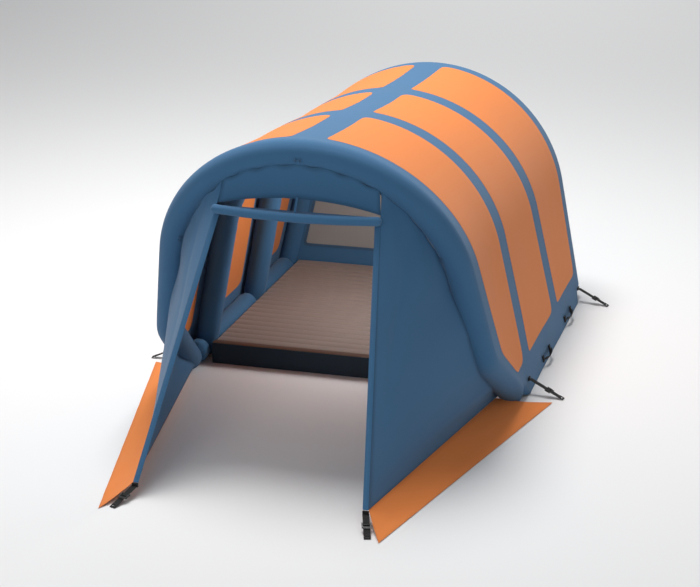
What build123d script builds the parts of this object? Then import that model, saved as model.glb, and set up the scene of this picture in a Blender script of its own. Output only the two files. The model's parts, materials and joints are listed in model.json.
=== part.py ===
from build123d import *
import os
from math import atan, ceil, cos, degrees, hypot, pi, radians, sin

# Inflatable tunnel tent: four air hoops, two rows of base tubes, a sewn canopy, an open
# porch of two cloth wings, and an air floor.  Millimetres, +Z up.  The entrance faces -Y,
# the tunnel runs back along +Y and the tent is symmetric about X = 0.  While it is being
# built, Y = 0 is just behind the porch; everything is moved forward when it is written.

# ---------------------------------------------------------------- driving dimensions
TUBE_R = 80.0            # every air tube
TUBE_WALL = 2.0          # bladder and sleeve together
SKIN_T = 3.0             # canopy cloth with its seam allowance
CLOTH_T = 2.5            # porch cloth
SKIRT_T = 1.6
BASE_HALF = 1204.0       # outer half width on the ground
GROUND_GAP = 1.0         # cloth hems stop this far above the ground
MIDDLE_Y = 917.0         # half way from the skirts' tips to the rear tube's back
SLEEVE_EASE = 7.5        # slack between a hoop tube and the cloth over it

# hoop: where its plane meets the ground, lean (+ is back), height, half width, leg flare
FRONT_HOOP = (431.0, -17.2, 1901.0, 1215.0, 0.182)
SECOND_HOOP = (1122.0, -5.0, 1817.0, BASE_HALF, 0.211)
THIRD_HOOP = (2145.0, -5.0, 1746.0, BASE_HALF, 0.211)
REAR_HOOP = (3026.0, 5.6, 1700.0, BASE_HALF, 0.211)
KNEE_Z = 473.0           # the front hoop's legs turn back towards the base below this
FRONT_FOOT_Y = 924.0     # where those turned legs reach the ground
KNEE_BEND = 260.0        # centreline radius at the knee

# canopy layout, as fractions of the way from the ground (0) to the ridge (1)
BASE_BAND_U = 0.095
RIDGE_BAND_U = 0.957
FRONT_BAND = 152.0       # cloth between the front hoop and the first orange panels
HOOP_BAND = 98.0         # half of each blue band over the middle hoops
REAR_BAND = 125.0
BAND_LIMIT = 0.46        # no band takes more of a bay than this near the ground
SEAM_GAP = 0.5           # each piece of cloth stops this far short of its seam line
U_STEP = 0.042           # longest step round the tent between two sections of cloth

# porch
JAMB_FOOT = Vector(704, -1198, 82)
JAMB_HEAD = Vector(493, -160, 1590)
# the porch is laced to the front hoop, this many degrees forward of its inner face, at
# each of these fractions of the way from the ground to the ridge
LACING_ANGLES = ((0.0, 45.0), (0.06, 45.0), (0.13, 80.0), (0.3, 78.0), (0.45, 40.0),
                 (0.6, 42.0), (0.7, 60.0), (0.8, 76.0), (1.0, 81.0))
WING_FOOT_U = 0.055
WING_HEAD_U = 0.775
JAMB_STRIP = 33.0
LINTEL_R = 28.0
LINTEL_Z = 1480.0
LINTEL_Y = -275.0
LINTEL_HALF = 498.0
LINTEL_BOW = 60.0
WEB_Z = LINTEL_Z + 0.45 * LINTEL_R
VALANCE_RISE = 62.0
VALANCE_U = 0.779        # where its laced edge starts, just past the wing's head
VALANCE_BACK = 9.0       # it hangs this far behind the jamb strips
SKIRT_FRONT = Vector(825, -1430, 1.6)
SKIRT_REAR = Vector(1373, 868, 1.6)
SKIRT_SPLIT = 0.62       # ahead of this the skirt folds up freely; behind, it is tucked under

# floor
FLOOR_FRONT = 964.0
FLOOR_BACK = 2962.0
FLOOR_HALF = 997.0
CHAMBER_H = 130.0
CHAMBER_WALL = 3.0
DECK_TOP = 143.0
DECK_FRONT = 1052.0
RIB_COUNT = 21
RIB_RISE = 9.0
MAT_T = 3.0
PANEL_H = 146.0

# rear wall
WALL_FORWARD = 58.0      # ahead of the rear hoop's centre plane
WINDOW_SILL = 256.0
WINDOW_HEAD = 1120.0
WINDOW_MARGIN = 14.0
WINDOW_CORNER = 30.0
WALL_LAP = 22.0          # the wall's edge laps this far onto the tube

# webbing and hardware
WEB_W = 40.0
WEB_T = 1.8
BUCKLE_W = 55.0
BUCKLE_L = 38.0
BAR = 5.0
TAB_T = 4.2              # from a strap's root to the middle of its tab
CORNER_ROOT = Vector(691, -1208, 62)
CORNER_TIP = Vector(753, -1398, 2)
CORNER_BUCKLE = 0.46     # where the buckle rests, as a fraction of the strap
GUY_ROOT_Z = 104.0
GUY_FRONT_TIP = Vector(1432, 949, 2)
GUY_REAR_TIP = Vector(1430, 2889, 2)
GUY_BUCKLE = 0.56
HANDLE_LEN = 190.0
HANDLE_RISE = 26.0
HANDLE_W = 30.0
HANDLE_X = BASE_HALF + 4
HANDLE_DROOP = 35.0      # the handles hang this far below level
PATCH = (9.0, 34.0, 44.0)
HANDLE_Y = (1615.0, 2465.0)
HANDLE_Z = 60.0
TOGGLE_U = 0.52
TOGGLE_AHEAD = 16.0      # degrees round the tube from the lacing to the toggles

# valve
VALVE_H = 420.0
FLANGE_R = 30.0
COLLAR_R = 19.0
VALVE_BORE_R = 13.0
PLUNGER_R = 5.0

parts = {}


# ---------------------------------------------------------------- hoops and the skin
class Hoop:
    """A hoop's outline in its own leaning plane: straight flared legs and one round top."""

    def __init__(self, base_y, lean, height, half, flare, knee_z=None, foot_y=None):
        self.base_y = base_y
        self.lean = radians(lean)
        self.half = half
        self.flare = flare
        self.slope = atan(flare)
        self.top = height / cos(self.lean)
        span = cos(self.slope) + flare * sin(self.slope) - flare
        self.radius = (half - flare * self.top) / span
        self.centre = self.top - self.radius
        self.shoulder = self.centre + self.radius * sin(self.slope)
        self.leg = hypot(flare * self.shoulder, self.shoulder)
        self.length = self.leg + self.radius * (pi / 2 - self.slope)
        self.knee_z = knee_z
        self.foot_y = foot_y

    def place(self, x, h):
        """Stand a point of the leaning plane up in space, bending the legs below a knee."""
        z = h * cos(self.lean)
        y = self.base_y + h * sin(self.lean)
        if self.knee_z and z < self.knee_z:
            knee_y = self.base_y + self.knee_z / cos(self.lean) * sin(self.lean)
            y = knee_y + (self.foot_y - knee_y) * (1 - z / self.knee_z)
        return Vector(x, y, z)

    def leg_point(self, h, inset, side=1):
        """The point of a leg at plane height h, moved inwards by inset."""
        return self.place(side * (self.half - self.flare * h - inset / cos(self.slope)), h)

    def at(self, u, inset=0.0):
        """The outline from the right base (0) over the ridge (1) to the left base (2)."""
        side = 1 if u <= 1 else -1
        s = min(u, 2 - u) * self.length
        if s < self.leg:
            h = self.shoulder * s / self.leg
            x = self.half - self.flare * h
            angle = self.slope
        else:
            angle = self.slope + (s - self.leg) / self.radius
            x = self.radius * cos(angle)
            h = self.centre + self.radius * sin(angle)
        return self.place(side * (x - inset * cos(angle)), h - inset * sin(angle))


FRONT = Hoop(*FRONT_HOOP, knee_z=KNEE_Z, foot_y=FRONT_FOOT_Y)
HOOPS = (FRONT, Hoop(*SECOND_HOOP), Hoop(*THIRD_HOOP), Hoop(*REAR_HOOP))
TUBE_INSET = SKIN_T + TUBE_R + SLEEVE_EASE


def eased(before, after):
    """A slope between two steps that never overshoots either of them."""
    return 0.0 if before * after <= 0 else 2 * before * after / (before + after)


def skin(u, v):
    """The canopy's outer face: u as in Hoop.at, v from the front hoop (0) to the rear (3)."""
    rows = [tuple(hoop.at(u)) for hoop in HOOPS]
    bay = min(int(v), 2)
    t = v - bay
    point = []
    for axis in range(3):
        c = [row[axis] for row in rows]
        steps = [c[1] - c[0], c[2] - c[1], c[3] - c[2]]
        slopes = [steps[0], eased(steps[0], steps[1]), eased(steps[1], steps[2]), steps[2]]
        here, there = c[bay], c[bay + 1]
        m0, m1 = slopes[bay], slopes[bay + 1]
        point.append((2 * t**3 - 3 * t**2 + 1) * here + (t**3 - 2 * t**2 + t) * m0
                     + (3 * t**2 - 2 * t**3) * there + (t**3 - t**2) * m1)
    return Vector(*point)


def bay_length(u, bay):
    return (HOOPS[bay + 1].at(u) - HOOPS[bay].at(u)).length


def ruled_cloth(edge_a, edge_b, stops, thickness, into):
    """Cloth ruled between two edges, each a function from 0 to 1, with an even thickness.

    stops is a number of equal steps, or the list of places where sections are taken."""
    if isinstance(stops, int):
        stops = [i / stops for i in range(stops + 1)]
    step = 0.5 / (len(stops) - 1)
    sections = []
    for t in stops:
        a, b = edge_a(t), edge_b(t)
        before, after = max(t - step, 0), min(t + step, 1)
        along = (edge_a(after) + edge_b(after)) - (edge_a(before) + edge_b(before))
        normal = (b - a).cross(along).normalized()
        if normal.dot(into - a) < 0:
            normal = normal * -1
        shift = normal * thickness
        sections.append(Wire.make_polygon([a, b, b + shift, a + shift]))
    return Solid.make_loft(sections, ruled=True)


def front_edge(bay):
    """Where a bay's panels begin, as v for a given u."""
    width = FRONT_BAND if bay == 0 else HOOP_BAND
    return lambda u: bay + min(width / bay_length(u, bay), BAND_LIMIT)


def rear_edge(bay):
    width = REAR_BAND if bay == 2 else HOOP_BAND
    return lambda u: bay + 1 - min(width / bay_length(u, bay), BAND_LIMIT)


def u_sections():
    """Where all the canopy's pieces have their sections, so that their edges match."""
    seams = [0.001, BASE_BAND_U, RIDGE_BAND_U, 2 - RIDGE_BAND_U, 2 - BASE_BAND_U, 1.999]
    sections = [seams[0]]
    for start, end in zip(seams[:-1], seams[1:]):
        steps = ceil((end - start) / U_STEP)
        sections += [start + (end - start) * i / steps for i in range(1, steps + 1)]
    return sections


def canopy_piece(u0, u1, v_start, v_end):
    """Taut canopy cloth between two v edges, each a function of u, from u0 to u1."""
    gap = SEAM_GAP / FRONT.length

    def edge(v, side):
        def point(t):
            u = u0 + gap + (u1 - u0 - 2 * gap) * t
            seam = v(u)
            return skin(u, seam + side * SEAM_GAP / bay_length(u, min(int(seam), 2)))
        return point
    stops = [(u - u0) / (u1 - u0) for u in u_sections() if u0 - 1e-9 < u < u1 + 1e-9]
    return ruled_cloth(edge(v_start, 1), edge(v_end, -1), stops, SKIN_T, Vector(0, 1600, 300))


def canopy_band(hoop):
    """The blue band over a hoop, in two strips that meet on the hoop."""
    strips = []
    if hoop > 0:
        strips.append(canopy_piece(0.001, 1.999, rear_edge(hoop - 1), lambda u: hoop))
    if hoop < 3:
        strips.append(canopy_piece(0.001, 1.999, lambda u: hoop, front_edge(hoop)))
    return Compound(children=strips)


def bay_strips(u0, u1):
    """The same piece of canopy in each of the three bays."""
    return Compound(children=[
        canopy_piece(u0, u1, front_edge(bay), rear_edge(bay)) for bay in range(3)])


# ---------------------------------------------------------------- air frame
def round_ended_tube(path, radius):
    """A solid of constant radius along a path, closed with a half ball at each end."""
    tube = sweep(Plane(origin=path @ 0, z_dir=path % 0) * Circle(radius), path=path)
    for end in (0, 1):
        tube += Plane(origin=path @ end, z_dir=path % end) * Sphere(radius)
    return tube


def hoop_path(hoop):
    """The centreline of a hoop's tube, from the right foot over the top to the left foot."""
    foot_h = (TUBE_R + GROUND_GAP) / cos(hoop.lean)
    foot = [hoop.leg_point(foot_h, TUBE_INSET, side) for side in (1, -1)]
    inner_r = hoop.radius - TUBE_INSET
    shoulder_h = hoop.centre + inner_r * sin(hoop.slope)
    shoulder = [hoop.place(side * inner_r * cos(hoop.slope), shoulder_h) for side in (1, -1)]
    top = ThreePointArc(shoulder[0], hoop.place(0, hoop.centre + inner_r), shoulder[1])
    if hoop.knee_z:
        knee_h = hoop.knee_z / cos(hoop.lean)
        knee = [hoop.leg_point(knee_h, TUBE_INSET, side) for side in (1, -1)]
        right = FilletPolyline(foot[0], knee[0], shoulder[0], radius=KNEE_BEND)
        left = FilletPolyline(shoulder[1], knee[1], foot[1], radius=KNEE_BEND)
    else:
        right = Line(foot[0], shoulder[0])
        left = Line(shoulder[1], foot[1])
    return Wire(right.edges() + top.edges() + left.edges())


def hoop_tube(hoop):
    """One bent air tube, hollow, standing on the ground on both legs."""
    path = hoop_path(hoop)
    return round_ended_tube(path, TUBE_R) - round_ended_tube(path, TUBE_R - TUBE_WALL)


def drum(length, radius, rounding):
    """A short air tube along Y with rounded ends, its middle at the origin."""
    body = Rot(X=90) * Cylinder(radius, length)
    return fillet(body.edges().filter_by(GeomType.CIRCLE), rounding)


def base_tubes():
    """The right-hand tubes on the ground between the hoops' legs, one for each bay."""
    z = TUBE_R + GROUND_GAP
    gap = 4.0
    legs = [hoop.leg_point(z / cos(hoop.lean), TUBE_INSET) for hoop in HOOPS]
    x = legs[1].X + SLEEVE_EASE
    tubes = []
    for near, far in zip(legs[:-1], legs[1:]):
        length = far.Y - near.Y - 2 * (TUBE_R + gap)
        rounding = min(0.9 * TUBE_R, 0.4 * length)
        shell = drum(length, TUBE_R, rounding)
        hollow = drum(length - 2 * TUBE_WALL, TUBE_R - TUBE_WALL, rounding - TUBE_WALL)
        tubes.append(Pos(x, (near.Y + far.Y) / 2, z) * (shell - hollow))
    return Compound(children=tubes)


def add_pair(name, right):
    """Keep a right-hand part and its mirror image."""
    parts[name + "_right"] = right
    parts[name + "_left"] = mirror(right, about=Plane.YZ)


for name, hoop in zip(("front", "second", "third", "rear"), HOOPS):
    parts["hoop_tube_" + name] = hoop_tube(hoop)
add_pair("base_tubes", base_tubes())


# ---------------------------------------------------------------- canopy
for index, name in enumerate(("front", "second", "third", "rear")):
    parts["canopy_band_" + name] = canopy_band(index)
parts["canopy_ridge"] = bay_strips(RIDGE_BAND_U, 2 - RIDGE_BAND_U)
add_pair("canopy_base", bay_strips(0.001, BASE_BAND_U))
for bay, where in enumerate(("front", "middle", "rear")):
    panel = canopy_piece(BASE_BAND_U, RIDGE_BAND_U, front_edge(bay), rear_edge(bay))
    add_pair("panel_" + where, panel)


# ---------------------------------------------------------------- rear wall and its window
def hoop_outline(hoop, inset, bottom):
    """The flat shape inside a hoop, in the hoop's own plane, down to plane height bottom."""
    r = hoop.radius - inset
    half = hoop.half - inset / cos(hoop.slope)
    low = (half - hoop.flare * bottom, bottom)
    high = (r * cos(hoop.slope), hoop.centre + r * sin(hoop.slope))
    top = ThreePointArc(high, (0, hoop.centre + r), (-high[0], high[1]))
    sides = Polyline((-high[0], high[1]), (-low[0], low[1]), low, high)
    return make_face(top.edges() + sides.edges())


def wall_window(margin):
    """The window's outline, this far inside the rear hoop's tube."""
    whole = hoop_outline(REAR, TUBE_INSET + TUBE_R + margin, WINDOW_SILL + margin - WINDOW_MARGIN)
    cap_height = WINDOW_HEAD - margin + WINDOW_MARGIN
    cap = Rectangle(3 * BASE_HALF, cap_height, align=(Align.CENTER, Align.MIN))
    window = whole & cap
    return fillet(window.vertices(), WINDOW_CORNER - margin + WINDOW_MARGIN)


REAR = HOOPS[3]
WALL_PLANE = Plane(origin=(0, REAR.base_y - WALL_FORWARD, 0), x_dir=(1, 0, 0),
                   z_dir=(0, -cos(REAR.lean), sin(REAR.lean)))
wall = hoop_outline(REAR, TUBE_INSET + TUBE_R - WALL_LAP, GROUND_GAP + 5)
window = wall_window(WINDOW_MARGIN)
binding = wall_window(WINDOW_MARGIN - 11) - wall_window(WINDOW_MARGIN + 9)
parts["rear_wall"] = extrude(WALL_PLANE * (wall - window), CLOTH_T)
parts["rear_window_mesh"] = extrude(WALL_PLANE * window, CLOTH_T / 2)
parts["rear_window_binding"] = Pos(0, -CLOTH_T - 0.6, 0) * extrude(WALL_PLANE * binding, CLOTH_T)


# ---------------------------------------------------------------- porch
def lacing_angle(u):
    """How far forward of the hoop's inner face the porch is laced on, in degrees."""
    u = min(u, 2 - u)
    for (u0, a0), (u1, a1) in zip(LACING_ANGLES[:-1], LACING_ANGLES[1:]):
        if u <= u1:
            t = (u - u0) / (u1 - u0)
            return a0 + (a1 - a0) * t * t * (3 - 2 * t)
    return LACING_ANGLES[-1][1]


def lacing(u, lift=2.0, ahead=0.0):
    """A point of the line on the front tube where the porch cloth is laced on."""
    centre = FRONT.at(u, TUBE_INSET)
    step = 0.004
    along = (FRONT.at(u + step, TUBE_INSET) - FRONT.at(u - step, TUBE_INSET)).normalized()
    outward = FRONT.at(u, TUBE_INSET - 10) - centre
    inward = (outward - along * outward.dot(along)).normalized() * -1
    forward = along.cross(inward)
    if forward.Y > 0:
        forward = forward * -1
    angle = radians(lacing_angle(u) + ahead)
    return centre + (inward * cos(angle) + forward * sin(angle)) * (TUBE_R + lift)


def wing_lacing(t):
    """The wing's laced edge, from its foot (0) to its head (1)."""
    return lacing(WING_FOOT_U + (WING_HEAD_U - WING_FOOT_U) * t, lift=4.5)


def jamb(t, shift=0.0):
    """The straight front edge of the right wing, from its foot (0) to its head (1)."""
    return JAMB_FOOT + (JAMB_HEAD - JAMB_FOOT) * t - Vector(shift, 0, 0)


def valance():
    """The cloth over the doorway; its lower edge is arched."""
    corner = jamb((LINTEL_Z + 20 - JAMB_FOOT.Z) / (JAMB_HEAD.Z - JAMB_FOOT.Z))

    def upper(t):
        return lacing(VALANCE_U + 2 * (1 - VALANCE_U) * t)

    def lower(t):
        across = 1 - 2 * t
        rise = VALANCE_RISE * (1 - across**2)
        return Vector((corner.X - 1.5) * across, corner.Y + VALANCE_BACK, corner.Z + rise)
    return ruled_cloth(lower, upper, 24, CLOTH_T, Vector(0, -5000, 1500))


def lintel():
    """A small air tube bowed forward between the two jambs."""
    ends = [Vector(side * LINTEL_HALF, LINTEL_Y, LINTEL_Z) for side in (1, -1)]
    middle = Vector(0, LINTEL_Y - LINTEL_BOW, LINTEL_Z)
    path = ThreePointArc(ends[0], middle, ends[1])
    tube = sweep(Plane(origin=ends[0], z_dir=path % 0) * Circle(LINTEL_R), path=path)
    for end in ends:
        tube += Pos(end) * Sphere(LINTEL_R)
    return tube


def lintel_web():
    """The flat lens of cloth between the bowed tube and the straight line behind it."""
    back = LINTEL_Y + LINTEL_R + 4
    half = LINTEL_HALF - 20
    front = ThreePointArc((half, back), (0, back - LINTEL_BOW - 3), (-half, back))
    chord = Line((-half, back), (half, back))
    lens = make_face(front.edges() + chord.edges())
    return Pos(0, 0, WEB_Z) * extrude(lens, CLOTH_T)


def lintel_strap():
    """The tape that hangs the web's middle from the valance."""
    low = Vector(0, LINTEL_Y - LINTEL_BOW / 4, WEB_Z + CLOTH_T + 0.5)
    high = Vector(0, jamb(0.93).Y - 3, LINTEL_Z + 20 + VALANCE_RISE + 14)
    run = high - low
    frame = Plane(origin=low, x_dir=(1, 0, 0), z_dir=run.normalized())
    return extrude(frame * Rectangle(14, 1.6), run.length)


add_pair("wing", ruled_cloth(jamb, wing_lacing, 26, CLOTH_T, Vector(5000, -200, 800)))
STRIP_HEAD = (LINTEL_Z + 12 - JAMB_FOOT.Z) / (JAMB_HEAD.Z - JAMB_FOOT.Z)
add_pair("jamb_strip", ruled_cloth(lambda t: jamb(t * STRIP_HEAD, 1),
                                   lambda t: jamb(t * STRIP_HEAD, JAMB_STRIP), 4,
                                   CLOTH_T, Vector(0, -5000, 800)))
parts["valance"] = valance()
parts["lintel_tube"] = lintel()
parts["lintel_web"] = lintel_web()
parts["lintel_strap"] = lintel_strap()


# ---------------------------------------------------------------- ground skirts
def skirt(start, end):
    """Part of the right ground skirt, from start to end along its hem."""
    hem_front = JAMB_FOOT + Vector(12, 0, -4)
    hem_rear = lacing(WING_FOOT_U, lift=12) + Vector(8, -35, -14)

    def hem(t):
        return hem_front + (hem_rear - hem_front) * (start + (end - start) * t)

    def ground(t):
        return SKIRT_FRONT + (SKIRT_REAR - SKIRT_FRONT) * (start + (end - start) * t)
    return ruled_cloth(hem, ground, 6, SKIRT_T, Vector(1000, 0, 9000))


add_pair("skirt", skirt(0.0, SKIRT_SPLIT - 0.002))
add_pair("skirt_tail", skirt(SKIRT_SPLIT + 0.002, 1.0))


# ---------------------------------------------------------------- lacing toggles
def toggle_loops():
    """Pairs of small tape loops that tie the porch to the hoop at its top and shoulders."""
    ring = extrude(Circle(11) - Circle(8), 5, both=True)
    loops = []
    for u in (TOGGLE_U, 1.0, 2 - TOGGLE_U):
        seat = lacing(u, 13.5, TOGGLE_AHEAD)
        across = (lacing(u + 0.01) - lacing(u - 0.01)).normalized()
        for shift in (-14, 14):
            loops.append(Plane(origin=seat + across * shift, z_dir=across) * ring)
    return Compound(children=loops)


parts["toggle_loops"] = toggle_loops()


# ---------------------------------------------------------------- floor
FROM_FRONT_BOTTOM = (Align.CENTER, Align.MIN, Align.MIN)


def rib_line(height):
    """The arcs of the ribs' section, with their valleys at this height."""
    pitch = (FLOOR_BACK - DECK_FRONT) / RIB_COUNT
    arcs = []
    for rib in range(RIB_COUNT):
        y = DECK_FRONT + rib * pitch
        crest = (y + pitch / 2, height + RIB_RISE)
        arcs += ThreePointArc((y, height), crest, (y + pitch, height)).edges()
    return arcs


def floor_mat():
    """The ribbed cloth top of the air floor; each rib is a low arc across the tent."""
    top = DECK_TOP - RIB_RISE
    under = top - MAT_T
    ends = [Line((y, under), (y, top)).edge() for y in (DECK_FRONT, FLOOR_BACK)]
    section = Plane.YZ * make_face(rib_line(top) + rib_line(under) + ends)
    return Pos(-FLOOR_HALF, 0, 0) * extrude(section, 2 * FLOOR_HALF)


def air_floor():
    """The flat inflated chamber that everything inside the tent stands on, hollow."""
    def block(inset):
        half = FLOOR_HALF - inset
        depth = FLOOR_BACK - FLOOR_FRONT - 8 - 2 * inset
        box = Box(2 * half, depth, CHAMBER_H - 2 * inset, align=FROM_FRONT_BOTTOM)
        rounded = fillet(box.edges().filter_by(Axis.Z), 30 - inset)
        return Pos(0, FLOOR_FRONT + 8 + inset, inset) * rounded
    return block(0) - block(CHAMBER_WALL)


def floor_front_panel():
    """The dark cloth face closing the front of the floor."""
    panel = Box(2 * FLOOR_HALF, 4, PANEL_H, align=FROM_FRONT_BOTTOM)
    return Pos(0, FLOOR_FRONT, GROUND_GAP) * panel


def floor_front_trim():
    """The brown edge that rolls over the front of the floor."""
    depth = DECK_FRONT - FLOOR_FRONT - 6
    height = DECK_TOP + 4 - CHAMBER_H
    strip = Box(2 * FLOOR_HALF, depth, height, align=FROM_FRONT_BOTTOM)
    strip = fillet(strip.edges().filter_by(Axis.X), height * 0.42)
    return Pos(0, FLOOR_FRONT + 5, CHAMBER_H + 0.5) * strip


parts["air_floor"] = air_floor()
parts["floor_mat"] = floor_mat()
parts["floor_front_panel"] = floor_front_panel()
parts["floor_front_trim"] = floor_front_trim()


# ---------------------------------------------------------------- straps and buckles
def strap_frame(root, tip):
    """A frame at a strap's root: X along the strap, Y across it, Z up from its face."""
    along = (tip - root).normalized()
    across = Vector(0, 0, 1).cross(along).normalized()
    return Plane(origin=root, x_dir=along, z_dir=along.cross(across))


def strap(length):
    """A flat web with a sewn double end that has a slot for the peg."""
    web = Box(length, WEB_W, WEB_T, align=(Align.MIN, Align.CENTER, Align.MIN))
    fold = Box(34, WEB_W, 2 * WEB_T, align=(Align.MAX, Align.CENTER, Align.MIN))
    slot = extrude(SlotOverall(22, 8, rotation=90), 12, both=True)
    return web + Pos(length, 0, 0) * fold - Pos(length - 15, 0, 0) * slot


def buckle():
    """A ladder lock: two side rails, a bar above the web, two below it and a lift tab."""
    rail_w = (BUCKLE_W - WEB_W) / 2 - 0.8
    reach = (BUCKLE_W - rail_w) / 2
    middle = WEB_T / 2
    clear = middle + 0.7 + BAR / 2
    body = Pos(BUCKLE_L / 2 + 5, 0, middle + 4) * Box(14, BUCKLE_W - 8, 3)
    for side in (1, -1):
        body += Pos(0, side * reach, middle) * Box(BUCKLE_L, rail_w, 11)
    rod = Rot(X=90) * Cylinder(BAR / 2, 2 * reach)
    body += Pos(0, 0, middle + clear) * rod
    for end in (1, -1):
        body += Pos(end * (BUCKLE_L / 2 - 3), 0, middle - clear) * rod
    return body


def strap_tab(root, tip, rise=0.0):
    """The sewn tab on the tent that a strap hangs from, square to the strap."""
    level = Plane(origin=root, x_dir=Vector(tip.X - root.X, tip.Y - root.Y, 0), z_dir=(0, 0, 1))
    return level * Pos(-TAB_T, 0, rise) * Box(4, WEB_W, 26)


def guy_root(tip):
    return Vector(BASE_HALF - REAR.flare * GUY_ROOT_Z + 16, tip.Y + 48, GUY_ROOT_Z)


STRAPS = {"corner": (CORNER_ROOT, CORNER_TIP, CORNER_BUCKLE)}
for where, tip in (("front", GUY_FRONT_TIP), ("rear", GUY_REAR_TIP)):
    STRAPS["guy_" + where] = (guy_root(tip), tip, GUY_BUCKLE)

for key, (root, tip, share) in STRAPS.items():
    frame = strap_frame(root, tip)
    length = (tip - root).length
    add_pair("strap_" + key, frame * strap(length))
    add_pair("buckle_" + key, frame * (Pos(length * share, 0, 0) * buckle()))

tabs = [strap_tab(CORNER_ROOT, CORNER_TIP, 4)]
tabs += [strap_tab(*STRAPS[key][:2]) for key in ("guy_front", "guy_rear")]
parts["strap_tabs"] = Compound(children=tabs + [mirror(tab, about=Plane.YZ) for tab in tabs])


# ---------------------------------------------------------------- carry handles
def handle(y):
    """A bowed web that droops from the base band."""
    half = HANDLE_LEN / 2
    thick = 2 * WEB_T
    bow = ThreePointArc((-half, 0), (0, HANDLE_RISE), (half, 0)).edges()
    under = ThreePointArc((half, -thick), (0, HANDLE_RISE - thick), (-half, -thick)).edges()
    ends = Line((half, 0), (half, -thick)).edges() + Line((-half, -thick), (-half, 0)).edges()
    web = extrude(make_face(bow + under + ends), HANDLE_W / 2, both=True)
    return Pos(HANDLE_X, y, HANDLE_Z) * Rot(Y=HANDLE_DROOP) * Rot(Z=-90) * web


def handle_patches(y):
    """The two folded patches that hold a handle's ends."""
    reach = (HANDLE_LEN + PATCH[1]) / 2 + 2
    x = HANDLE_X - PATCH[0] / 2 - 5
    lean = -degrees(REAR.slope)
    return [Pos(x, y + end * reach, HANDLE_Z) * Rot(Y=lean) * Box(*PATCH) for end in (-1, 1)]


patches = []
for where, y in zip(("front", "rear"), HANDLE_Y):
    add_pair("handle_" + where, handle(y))
    patches += handle_patches(y)
parts["handle_patches"] = Compound(
    children=patches + [mirror(patch, about=Plane.YZ) for patch in patches])


# ---------------------------------------------------------------- inflation valve
UPWARD = (Align.CENTER, Align.CENTER, Align.MIN)
VALVE = Plane(origin=REAR.leg_point(VALVE_H, TUBE_INSET, -1), x_dir=(1, 0, 0),
              z_dir=(0, cos(REAR.lean), -sin(REAR.lean)))


def valve_body():
    """A flange and a threaded collar, with a lug that the cap hangs on."""
    flange = Pos(0, 0, TUBE_R - 4) * Cylinder(FLANGE_R, 7, align=UPWARD)
    collar = Pos(0, 0, TUBE_R - 4) * Cylinder(COLLAR_R, 17, align=UPWARD)
    bore = Pos(0, 0, TUBE_R - 2) * Cylinder(VALVE_BORE_R, 30, align=UPWARD)
    lug = Pos(0, COLLAR_R + 4, TUBE_R + 7) * Box(10, 7, 12)
    return flange + collar + lug - bore


def valve_plunger():
    """The button that is pressed to let air out."""
    return Pos(0, 0, TUBE_R + 1.5) * Cylinder(PLUNGER_R, 9, align=UPWARD)


def valve_cap():
    """The screw lid with its tether."""
    lid = Pos(0, 0, TUBE_R + 13.6) * Cylinder(COLLAR_R + 2, 6, align=UPWARD)
    return lid + Pos(0, COLLAR_R + 4, TUBE_R + 16.6) * Box(10, 10, 6)


parts["valve_body"] = VALVE * valve_body()
parts["valve_plunger"] = VALVE * valve_plunger()
parts["valve_cap"] = VALVE * valve_cap()
pocket = Pos(0, 0, TUBE_R - 4.5) * Cylinder(FLANGE_R + 0.5, TUBE_R, align=UPWARD)
parts["hoop_tube_rear"] -= VALVE * pocket

# ---------------------------------------------------------------- write
# the written frame's origin is on the ground, below the middle of the tent's length
os.makedirs("parts", exist_ok=True)
for node, shape in parts.items():
    export_step(Pos(0, -MIDDLE_Y, 0) * shape, "parts/" + node + ".step")
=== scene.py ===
import json
import math

import bpy
import numpy as np
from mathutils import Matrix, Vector, noise

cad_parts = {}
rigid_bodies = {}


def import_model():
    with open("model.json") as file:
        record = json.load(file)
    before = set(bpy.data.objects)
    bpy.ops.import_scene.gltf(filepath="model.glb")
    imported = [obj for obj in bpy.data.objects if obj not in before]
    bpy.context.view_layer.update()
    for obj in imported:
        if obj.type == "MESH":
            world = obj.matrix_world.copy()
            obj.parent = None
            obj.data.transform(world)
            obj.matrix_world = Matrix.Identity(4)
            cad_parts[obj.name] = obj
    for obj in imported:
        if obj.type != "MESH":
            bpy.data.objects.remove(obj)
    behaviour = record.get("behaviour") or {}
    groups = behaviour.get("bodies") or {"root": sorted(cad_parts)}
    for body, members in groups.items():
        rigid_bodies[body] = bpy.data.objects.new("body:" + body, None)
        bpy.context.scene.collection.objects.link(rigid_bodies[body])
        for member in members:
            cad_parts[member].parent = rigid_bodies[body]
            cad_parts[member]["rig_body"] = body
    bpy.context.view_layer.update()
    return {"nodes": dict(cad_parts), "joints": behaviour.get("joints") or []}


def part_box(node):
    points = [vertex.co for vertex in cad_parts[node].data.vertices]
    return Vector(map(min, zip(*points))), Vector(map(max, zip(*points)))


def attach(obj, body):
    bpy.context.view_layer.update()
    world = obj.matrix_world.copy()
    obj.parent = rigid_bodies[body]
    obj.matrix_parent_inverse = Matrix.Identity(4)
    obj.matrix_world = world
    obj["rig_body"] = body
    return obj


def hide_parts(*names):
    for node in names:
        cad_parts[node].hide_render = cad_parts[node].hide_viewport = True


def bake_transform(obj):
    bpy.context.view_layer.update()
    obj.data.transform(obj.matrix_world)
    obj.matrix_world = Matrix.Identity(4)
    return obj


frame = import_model()

# ------------------------------------------------------------------ sizes, in metres
ORIGIN_Y = 0.917         # the frame's origin lies this far behind the hoops' own zero
TUBE_R = 0.080
SKIN_T = 0.0025          # drawn thickness of the canopy
TUBE_INSET = 0.0905      # from the canopy's outer face to a hoop tube's centreline
SLEEVE_R = 0.0875        # the front and rear tubes with their sleeves
GROUND = 0.0015          # lowest height of the cloth's outer face
BASE_HALF = 1.204        # half width of the three rear hoops at the ground
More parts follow.
